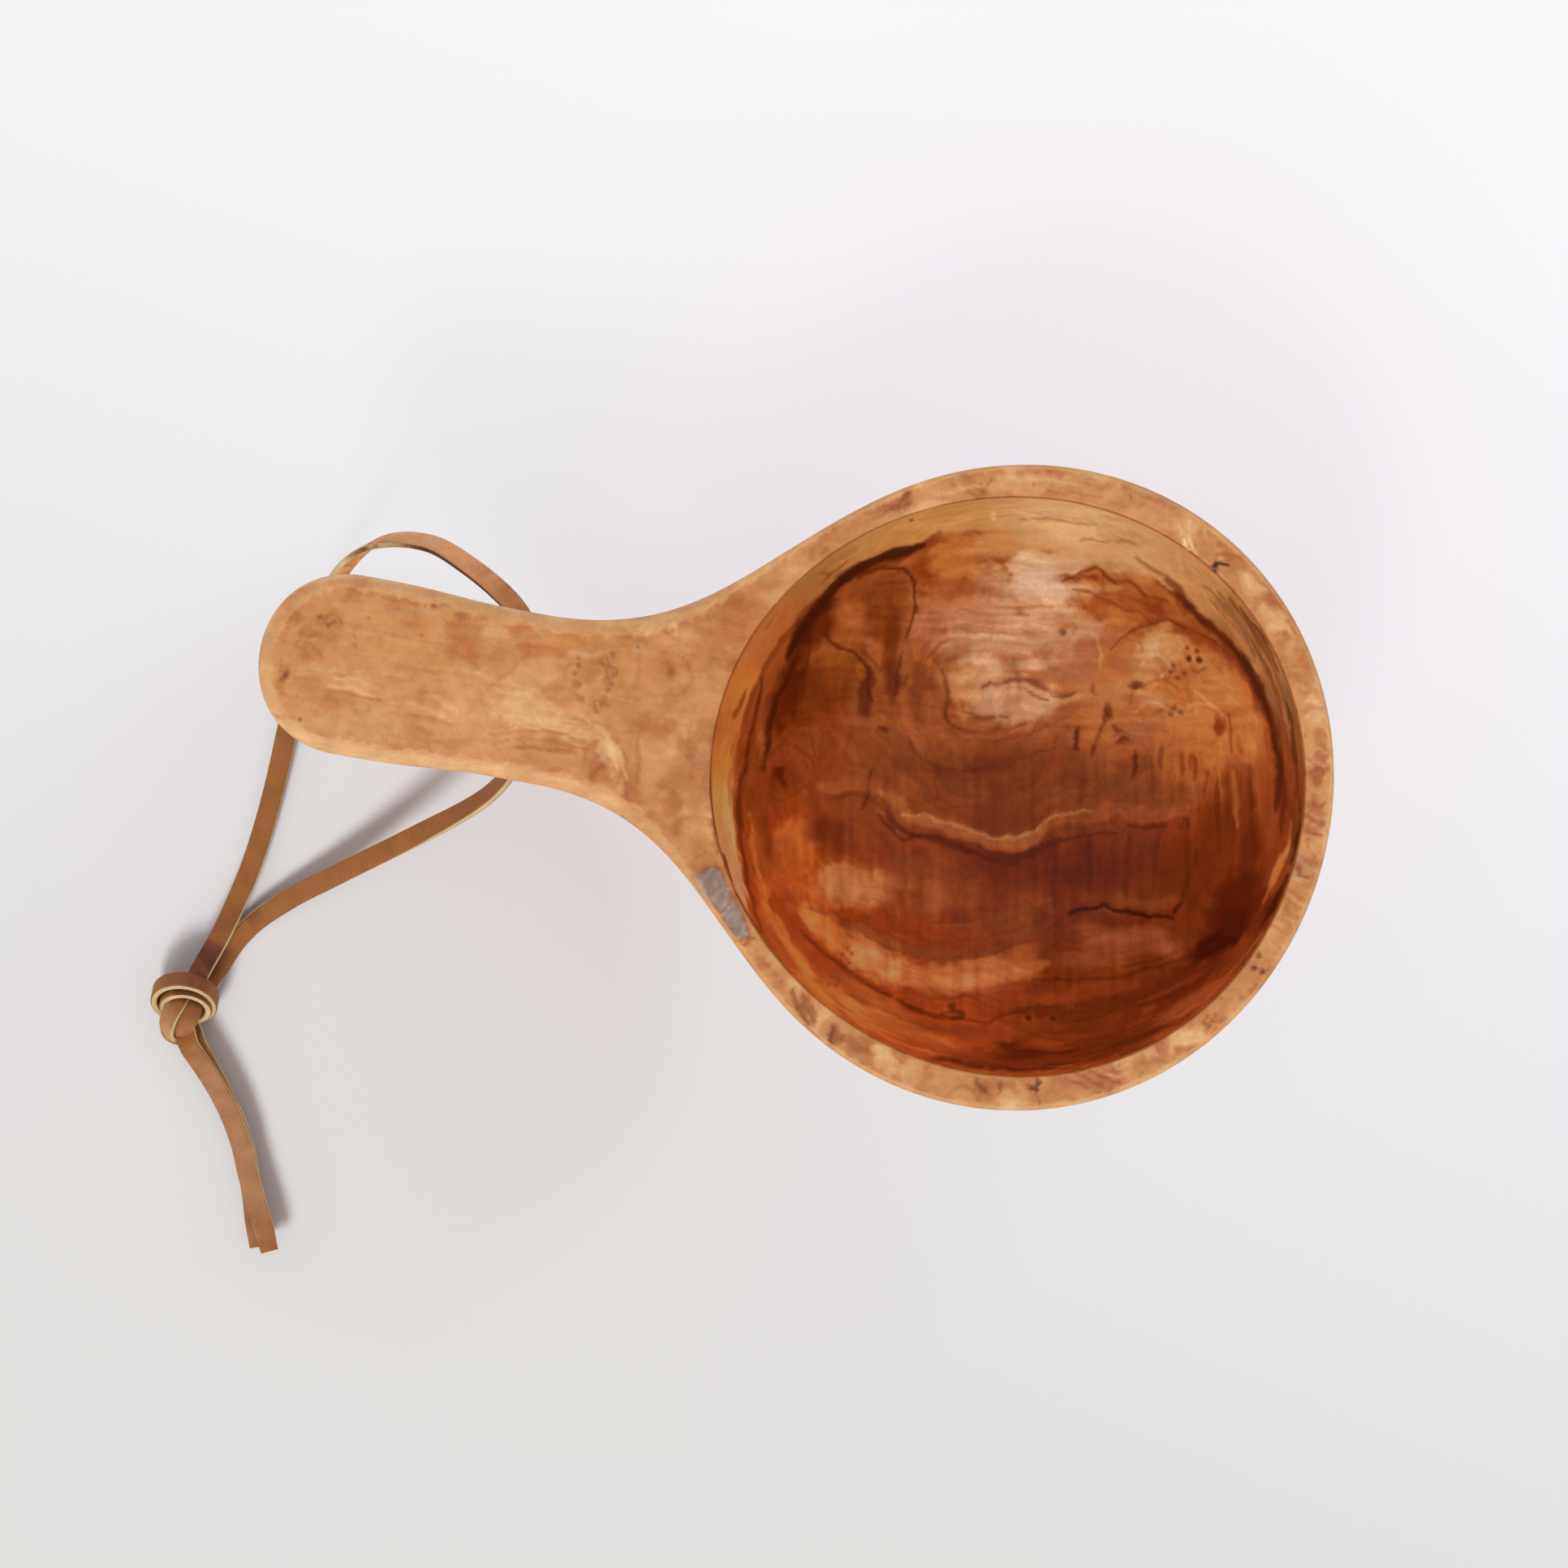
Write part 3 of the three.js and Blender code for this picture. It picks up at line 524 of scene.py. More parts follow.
# In the hollow, the cream and pale dabs round 1240 to 1330 across and 690 to 770 down are cream wood with a painted
# soft highlight of the key lamp over it.
HOLLOW_DABS = """
rust 1250 968 420 420 0 1; brown 1200 930 260 230 0 .8; clay 1250 830 250 150 0 .7; amber 1420 860 190 130 30 .8;
umber 1330 1120 230 130 0 .65; rust 1120 1150 230 150 25 .6; umber 1400 1180 220 90 -30 .7; brown 1020 820 140 160 -30
.6; gold 1330 668 190 44 6 .95; cream 1290 715 66 42 0 .85; cream 1276 728 52 15 6 .8; cream 1266 690 20 34 10 .5;
orange 1222 668 32 21 0 .85; amber 1180 690 40 22 -10 .6; sand 1220 720 36 14 10 .5; pink 1200 760 90 36 10 .75; sand
1265 768 80 8 8 .5; rose 1190 752 46 5 18 .4; cream 1290 790 60 20 -6 .5; orange 1250 797 20 5 0 .75; sand 1205 845 52
34 12 .85; cream 1215 822 40 10 10 .5; cream 1262 846 34 7 10 .55; mauve 1163 805 24 18 40 .6; pink 1145 782 30 14 30
.6; clay 1215 880 60 18 5 .5; clay 1290 880 70 24 -14 .55; rose 1310 782 20 14 0 .55; rose 1365 782 22 15 20 .6; rose
1340 806 24 12 0 .5; rose 1376 812 12 20 0 .4; sand 1330 780 11 11 0 .6; rust 1322 713 26 12 0 .75; rust 1352 706 20 9
0 .7; rust 1388 728 42 14 28 .8; rust 1418 748 34 12 24 .8; amber 1406 712 18 7 30 .5; rust 1450 762 36 11 16 .7;
orange 1370 745 50 14 14 .5; gold 1423 800 40 24 20 .85; sand 1412 802 16 16 0 .5; gold 1497 838 44 22 44 .75; gold
1390 850 50 20 -30 .6; clay 1447 830 30 20 0 .4; mauve 1400 848 8 9 0 .7; clay 1450 874 28 12 0 .6; moss 1452 876 10 5
0 .5; orange 1533 853 15 28 -38 .8; amber 1490 900 70 30 30 .6; clay 1420 920 60 26 0 .5; rust 1503 902 8 10 0 .6;
clay 1350 940 110 26 0 .45; brown 1250 950 190 46 0 .7; umber 1180 935 60 22 0 .3; brown 1400 985 120 26 0 .6; clay
1440 975 60 16 0 .3; umber 1300 1062 130 26 0 .6; umber 1305 1070 70 24 0 .35; umber 1440 1060 80 30 0 .5; brown 1250
1130 60 24 -18 .7; clay 1245 1180 46 22 -14 .6; umber 1290 1165 17 50 0 .75; brown 1385 1108 90 12 4 .6; brown 1395
1158 70 24 0 .65; rose 1440 1165 24 12 16 .35; mauve 1340 1190 20 12 0 .5; umber 1330 1165 18 24 0 .4; dark 1520 1120
34 62 32 .85; ink 1490 1168 34 17 -28 .9; dark 1460 1210 70 20 -30 .8; umber 1530 1000 40 60 10 .55; amber 1553 950 9
58 2 .6; umber 1500 1040 30 70 14 .5; dark 1540 1060 17 60 16 .5; dark 1350 1240 120 14 -8 .6; rust 1340 1222 110 10
-6 .35; brown 1460 1235 70 6 -32 .35; orange 975 1050 34 58 12 .75; amber 968 1040 18 30 10 .4; orange 1000 1098 30 34
0 .5; clay 1040 1090 50 22 10 .5; tan 1070 1098 56 26 14 .45; clay 1150 1080 50 36 0 .35; umber 1130 1075 16 34 14 .5;
mauve 1022 1028 36 22 10 .75; umber 1020 1012 26 12 0 .5; umber 1035 1045 20 10 0 .5; clay 1150 1115 36 20 0 .35;
amber 1018 1142 42 16 37 .9; tan 1010 1136 20 8 40 .5; clay 1082 1186 60 20 26 .9; amber 1090 1192 44 10 26 .5; clay
1140 1208 60 14 10 .8; clay 1200 1200 56 15 -6 .75; rose 1215 1215 60 9 -6 .4; mauve 1212 1228 44 8 -2 .45; amber 1063
1242 70 18 30 .7; orange 1130 1272 60 12 20 .6; brown 1010 1215 40 10 44 .6; umber 1110 1268 60 8 22 .45; dark 1290
1300 150 18 -4 .85; rust 1297 1288 30 7 -2 .8; ink 1243 1287 16 8 0 .7; dark 1400 1278 80 14 -24 .8; dark 1200 1312 70
8 4 .7; rust 950 930 50 60 20 .5; umber 965 955 26 20 0 .6; ink 962 956 8 7 0 .7; rust 1010 935 34 22 -30 .5; brown
1030 830 36 56 0 .6; umber 975 870 20 46 8 .85; dark 968 850 14 50 14 .8; brown 1085 722 36 30 -30 .85; umber 1085 770
24 40 -20 .5; clay 1056 752 18 13 30 .6; clay 1082 800 9 24 -10 .5; umber 1100 800 9 60 4 .6; dark 1071 850 9 42 0 .7;
umber 1104 850 7 34 6 .6; dark 1090 900 9 8 0 .6; clay 1122 890 9 36 -18 .6; brown 1150 900 26 40 -20 .4; umber 1150
958 60 16 10 .35; orange 1100 695 50 10 -14 .5; dark 1010 765 22 34 30 .85; ink 1003 755 12 40 38 .8; ink 1045 708 40
8 -33 .95; ink 1108 680 34 8 -17 .85; dark 1090 690 60 9 -22 .6; umber 940 1020 14 70 4 .5; orange 935 1060 9 60 -6
.5; amber 950 1135 9 26 -30 .4; gold 1300 640 170 17 2 .8; olive 1060 672 120 17 -28 .9; gold 1180 638 80 14 -11 .85;
olive 950 760 17 76 32 .85; clay 908 870 14 70 14 .8; tan 898 960 9 70 2 .7; tan 906 1056 8 60 -10 .9; olive 1480 700
90 18 36 .9; moss 1560 800 17 90 -26 .85; gold 1520 745 44 9 46 .35; moss 1594 920 12 80 -6 .8; clay 1600 960 7 60 0
.4; umber 1590 1040 10 50 12 .6; amber 1572 1072 6 34 22 .8; dark 1560 1130 10 44 32 .7; umber 1530 1170 10 40 46 .6;
umber 940 1170 12 34 -38 .7; amber 975 1170 9 50 -36 .7; orange 1010 1225 40 6 42 .7; umber 1180 1296 60 7 8 .5; dark
980 846 16 36 8 .8; clay 1050 760 28 13 20 .65; clay 1077 796 7 22 -30 .8; clay 1133 908 9 28 -24 .75; clay 1160 935
24 8 0 .4; umber 1096 775 7 42 0 .7; umber 1073 845 6 30 0 .55; umber 1106 828 7 36 4 .75; clay 1178 735 46 44 0 .55;
rose 1140 782 24 15 20 .55; rose 1160 800 15 15 0 .6; rose 1185 770 18 6 10 .6; orange 1200 672 48 18 -4 .65; sand
1226 708 26 18 0 .4; cream 1232 800 34 20 0 .4; sand 1214 858 38 26 0 .6; sand 1190 830 16 10 30 .5; brown 1190 925 60
13 -6 .6; rust 1020 905 46 46 0 .4; rose 1050 880 12 34 -10 .4; clay 1040 920 8 30 -25 .5; clay 1006 905 7 26 10 .4;
dark 960 952 12 10 0 .8; amber 932 930 6 60 10 .5; gold 1330 660 92 24 4 .8; olive 1400 682 40 20 25 .5; pale 1272 729
24 13 0 .45; cream 1265 700 22 20 0 .6; sand 1320 690 30 12 0 .5; orange 1347 715 12 9 0 .7; clay 1385 735 40 22 15
.65; sand 1372 722 10 7 0 .5; rust 1422 742 32 12 30 .75; rust 1470 775 36 12 36 .75; gold 1430 786 36 17 8 .85; cream
1416 794 20 13 0 .5; gold 1404 815 16 26 20 .5; amber 1500 850 50 38 30 .5; amber 1542 900 16 50 -15 .65; rose 1345
790 20 28 0 .55; rose 1310 778 13 9 0 .65; rose 1342 826 15 12 0 .6; sand 1322 802 8 12 0 .5; clay 1330 760 20 10 0
.5; cream 1270 822 28 11 0 .75; sand 1300 820 14 8 0 .5; sand 1290 870 50 9 -10 .7; clay 1350 860 30 12 -14 .6; sand
1420 866 26 8 0 .5; mauve 1397 849 8 8 0 .75; umber 1363 880 6 11 0 .85; umber 1388 911 17 6 0 .65; umber 1348 923 6 6
0 .75; umber 1472 934 8 12 0 .6; rust 1502 898 8 14 10 .85; brown 1330 950 90 24 0 .5; umber 1400 940 30 12 0 .4;
brown 1130 970 50 16 6 .5; rust 1165 980 40 10 0 .5; umber 1021 1026 25 18 0 .7; orange 972 1040 14 46 0 .25; tan 1045
1090 50 30 8 .5; clay 1056 1110 40 12 0 .5; umber 1107 1085 9 36 0 .75; umber 1135 1094 11 28 20 .55; clay 1152 1112
24 16 0 .45; umber 1205 1080 50 22 0 .55; brown 1180 1110 20 10 0 .4; rust 1230 1110 26 14 0 .4; orange 1016 1146 27
17 40 .95; clay 1007 1144 20 9 40 .5; tan 1075 1185 64 15 26 .5; clay 1180 1200 80 13 -2 .6; tan 1060 1172 20 6 30 .5;
brown 1080 1235 90 20 30 .65; umber 1160 1225 60 7 6 .5; umber 1330 1080 50 44 0 .5; umber 1300 1130 24 30 0 .5; rose
1375 1160 56 24 -6 .5; clay 1380 1150 40 12 0 .3; mauve 1340 1176 14 10 0 .55; mauve 1352 1190 20 7 0 .45; ink 1498
1166 36 9 -20 .9; dark 1530 1115 30 40 20 .7; ink 1520 1140 16 24 30 .5; clay 1262 1184 20 30 0 .45; dark 1330 1270
100 20 -10 .55; ink 1256 1300 30 6 0 .6; rust 1290 1285 26 6 0 .7; brown 1562 1000 12 60 5 .4; dark 1420 1215 60 12
-24 .6; umber 1300 1210 60 8 0 .5; rust 1470 1130 22 14 0 .5; cream 1262 740 62 22 8 .4; cream 1300 762 70 26 6 .5;
cream 1246 868 62 26 -4 .6; cream 1200 800 50 26 0 .35; clay 1305 802 26 14 0 .3; cream 1240 790 70 24 4 .3; tan 1345
722 20 10 0 .5; tan 1350 862 40 16 -10 .3; amber 1400 724 50 16 20 .5; amber 1448 758 36 11 30 .45; gold 1335 722 26
12 0 .5; amber 1180 700 44 20 -6 .5; gold 1450 880 40 20 0 .3; dark 970 850 20 62 16 .55; dark 1000 846 18 44 10 .5;
umber 1006 866 26 50 8 .45; rust 1030 872 22 40 0 .4; ink 985 800 14 40 24 .4; umber 1132 852 14 40 6 .45; umber 928
964 14 62 4 .7; dark 948 872 10 40 14 .4; umber 938 1050 10 50 -4 .45; rust 960 1150 14 34 -36 .55; umber 962 1152 12
36 -36 .35; umber 1040 1212 54 8 40 .25; clay 1100 1002 26 9 30 .35; rust 1036 1214 56 9 40 .45; umber 1180 1272 70 8
6 .5; umber 1255 1000 74 30 0 .35; umber 1250 948 120 34 0 .45; umber 1400 972 90 26 0 .35; umber 1085 728 34 26 -30
.5; umber 1036 838 26 34 0 .35; tan 1010 1148 30 12 38 .4; clay 1080 1160 40 10 26 .3; clay 1200 1192 60 10 -6 .35;
rust 1380 1166 50 14 -4 .3; pink 1420 1160 26 14 20 .2; rose 1372 1143 62 12 6 .45; rose 1352 1186 62 12 0 .35; tan
1085 1092 34 20 0 .25; tan 1044 1092 40 26 8 .3; amber 1222 674 38 26 0 .55; pink 1200 762 46 22 0 .45; tan 1085 1186
50 14 18 .22; clay 1200 1190 64 18 -4 .6; clay 1085 1160 60 16 16 .35; brown 1010 925 34 22 0 .3; mauve 1390 1160 54
24 0 .4; ink 990 780 24 12 -45 .5; clay 1120 1080 90 26 4 .35; clay 1180 1100 60 24 0 .3; rose 1400 900 30 16 0 .35;
amber 1190 690 60 14 -14 .3; pale 1286 716 44 17 4 .35; sand 1226 668 30 18 0 .2; tan 1222 674 38 24 0 .35; sand 1200
764 46 20 0 .25; cream 1284 722 50 18 0 .35; pink 1400 900 28 14 0 .3; sand 1085 1188 50 14 18 .25; pink 1200 1190 60
16 -4 .35; pink 1082 1160 50 14 16 .3; umber 1030 842 36 30 0 .3; umber 1085 725 30 16 -10 .15; rust 1555 960 14 34 0
.3; rust 1556 962 10 56 0 .6; brown 1450 1250 38 8 -30 .4; rust 966 1062 22 44 0 .55; dark 1345 1075 70 22 0 .3
"""

# The hollow's band under the rim: the angle round the bowl's middle, how far out the band starts, and its colour there.
BAND = """
pink 151 366; pink 159 354; pink 167 351; tan 175 347; amber 183 348; clay 191 346; amber 200 345; clay 208 342; clay
217 338; bronze 226 336; olive 235 335; gold 241 330; gold 249 322; gold 253 324; gold 262 318; straw 270 315; cream
278 302; cream 285 299; straw 292 296; straw 299 305; sand 306 309; gold 315 312; bronze 324 324; olive 334 321; moss
342 322; rust 356 324; umber 366 340; umber 372 345; brown 380 352; brown 386 372
"""

# Lines and streaks: colour, width, strength, then the points.
# The pale and cream lines along the handle's upper border, from 330,770 and from 450,713, are painted highlight on its
# rounded edge.
TOP_LINES = """
sand 4 .6 400,838 425,845 455,853 485,858; cream 2.5 .7 405,844 432,850 462,860; clay 2.5 .5 395,848 430,856 470,866;
cream 2.5 .6 410,835 440,840 470,848; sand 3 .5 470,862 510,872 545,886; cream 2 .5 380,822 410,826 440,833; clay 2 .4
609,914 650,911 700,917 740,930; cream 2.5 .7 612,903 650,899 690,902 725,914; clay 2 .5 640,922 680,922 715,930;
cream 2.5 .6 630,893 665,890 700,894 735,908 765,930; clay 2 .4 690,880 725,890 755,912 775,940; cream 3 .6 716,880
745,905 768,938; cream 2.5 .6 735,905 760,935 772,962; sand 2 .6 700,862 730,875 752,893; clay 4 .5 786,911 788,940
783,969; clay 3 .5 470,738 500,741 543,751; umber 4 .65 534,748 543,749 553,751; brown 5 .6 588,760 596,760 604,761;
clay 3 .4 560,800 580,812 592,826; sand 3 .5 545,852 575,868; sand 3 .5 552,848 584,864; cream 3 .45 535,858 566,876;
orange 8 .2 640,812 622,836 600,852; rose 3 .5 648,798 680,800 700,806; clay 2 .4 500,880 530,884 560,892; cream 3 .5
329,861 345,893 380,913 420,927 471,937; pink 4 .35 443,716 520,730 614,750; rose 5 .5 337,760 345,742 360,728
378,719; amber 2 .5 705,798 730,793 760,797 778,806; amber 2 .5 690,780 730,776 770,783; brown 2.2 .5 741,816 746,812
751,817 748,824; brown 2.2 .5 752,820 757,826 754,834; brown 2.2 .5 742,838 748,835 753,841 748,848 742,846; brown 2.2
.4 706,838 712,836 716,841 711,845; brown 2.2 .5 706,852 712,849 716,855 711,860; brown 2.2 .4 700,822 708,818
716,822; cream 3 .8 789,773 796,765 803,773 797,782 790,779; clay 1.6 .5 786,772 796,761 807,773 797,786; cream 2.6 .7
821,772 830,769 835,778 828,783; clay 1.4 .5 818,772 830,765 839,778; clay 2 .4 880,764 900,760 925,748; clay 2 .4
885,740 915,735 945,722; rose 3 .45 905,905 890,960 880,1030; rust 3 .6 881,925 877,960 879,1010 886,1050; rose 2 .4
842,765 868,762 900,752; sand 2 .5 1030,655 1060,640 1090,628; rust 2 .6 1084,616 1100,622 1120,608; rust 2 .6
1090,630 1108,624 1125,618; sand 2.5 .7 1100,640 1130,627 1160,618; cream 2 .6 1150,612 1180,604 1215,600; clay 2 .4
1160,590 1200,584 1240,580; cream 2 .5 1240,590 1290,590 1340,600; clay 2 .5 1290,604 1340,610 1390,624; rose 2 .4
1340,588 1390,602 1430,620; pale 3 .8 1461,662 1462,671 1463,680; pale 3 .8 1468,663 1470,673 1472,683; cream 2.6 .5
1466,640 1468,652 1466,664; cream 2.5 .6 1455,650 1458,664; cream 2 .5 1483,650 1487,665; black 3 .95 1496,704
1498,696 1505,694; black 2.2 .95 1499,697 1506,694 1513,696; cream 2 .6 1500,689 1508,686; cream 2.5 .6 1535,705
1540,722; cream 2 .5 1548,702 1553,716; rose 2.5 .6 1552,700 1560,722 1568,738; cream 2.5 .6 1572,742 1584,766
1593,790; clay 2 .5 1583,748 1592,770; clay 2 .5 1600,850 1610,856 1622,852; cream 2 .6 1606,868 1618,864 1632,872;
cream 2 .6 1608,884 1620,878 1634,886; cream 2 .5 1611,900 1622,893 1636,902; sand 2 .6 1613,935 1622,925 1634,930;
sand 2 .6 1613,948 1620,940 1630,944 1638,938; rust 2 .6 1615,955 1624,948 1632,955 1628,966; sand 2 .5 1614,972
1624,976 1636,972; rust 2 .5 1613,985 1624,992 1634,988; sand 2 .55 1610,1000 1636,1008; sand 2 .55 1608,1012
1633,1022; sand 2 .55 1605,1026 1630,1038; rust 2 .45 1609,1006 1634,1015; rust 2 .45 1606,1020 1632,1031; mauve 2 .6
1594,1064 1604,1070 1600,1078 1610,1082; ash 2 .6 1592,1058 1606,1062 1616,1074; clay 2 .5 1586,1096 1612,1108; clay 2
.5 1581,1106 1608,1120; cream 2 .5 1583,1101 1610,1114; clay 2 .5 1576,1118 1602,1132; cream 2 .5 1572,1126 1597,1140;
clay 2 .5 1566,1140 1588,1154; clay 2 .4 1558,1152 1580,1168; cream 2 .5 1440,1290 1470,1282 1500,1262; rose 2 .5
1362,1322 1385,1318 1410,1308; rust 2 .5 1320,1322 1345,1334 1362,1342; rust 1.6 .5 1335,1318 1360,1328 1380,1334;
rust 1.6 .5 1310,1330 1335,1340 1355,1348; cream 2 .5 1350,1320 1375,1326 1395,1320; cream 2 .5 1372,1310 1400,1302;
mauve 2 .8 1203,1328 1205,1338 1213,1343 1219,1351; mauve 1.6 .5 1226,1328 1234,1336 1230,1345; saddle 4 .6 974,1226
984,1246 998,1268; saddle 3.5 .6 984,1226 996,1246 1006,1262; saddle 4 .7 1031,1264 1025,1276 1022,1290; saddle 3 .5
1040,1272 1036,1284; clay 3 .5 1049,1276 1047,1290; clay 3 .5 1100,1296 1106,1306 1114,1312; clay 2.5 .5 1112,1296
1118,1306; clay 2 .4 930,1172 942,1182 950,1192; rust 2.4 .6 905,1157 916,1162 930,1156; cream 8 .5 342,890 378,914
430,930 500,938 560,944 620,950; pale 3 .5 330,770 345,745 372,722 402,713 450,711; cream 4 .5 450,713 520,723 600,743
680,763 760,768 830,760 880,744; clay 2.4 .6 486,735 502,738 518,743; brown 2 .45 389,765 405,758 425,770; clay 3 .4
380,790 392,802 401,814; sand 3 .5 430,800 470,808 520,820; sand 3 .4 450,780 500,790 545,800; cream 3 .4 560,820
600,836 640,846; cream 3 .5 612,850 650,856 690,872; cream 2.4 .5 620,862 660,866 700,884; pale 2.4 .5 744,905 752,925
760,948; pale 2.2 .5 736,892 750,908 758,930; cream 2 .5 690,884 716,890 738,902; brown 2 .5 714,812 718,820 712,826;
brown 2 .6 748,806 755,806 754,814; brown 2 .6 752,820 760,826 757,836 749,832; saddle 3 .7 976,1222 984,1240
996,1262; brown 2.6 .7 986,1218 998,1238 1006,1256; umber 2.6 .7 994,1262 1004,1272 1012,1280; umber 2.8 .75 1026,1268
1023,1282 1026,1294; brown 2.4 .7 1200,1326 1203,1338 1212,1348; brown 2.4 .6 1222,1328 1232,1338 1230,1350; umber 3
.7 1268,1334 1270,1343; umber 3 .7 1280,1330 1276,1347; clay 2 .5 600,905 640,901 690,905 730,918; clay 1.8 .4 610,922
660,921 700,928; brown 2 .55 735,864 742,866 741,873 734,872 733,866; sand 3 .5 590,872 640,880 700,884; cream 2 .5
500,866 530,874 556,888; orange 6 .35 549,762 566,784 591,812; sand 3 .4 400,900 460,912 520,918
"""
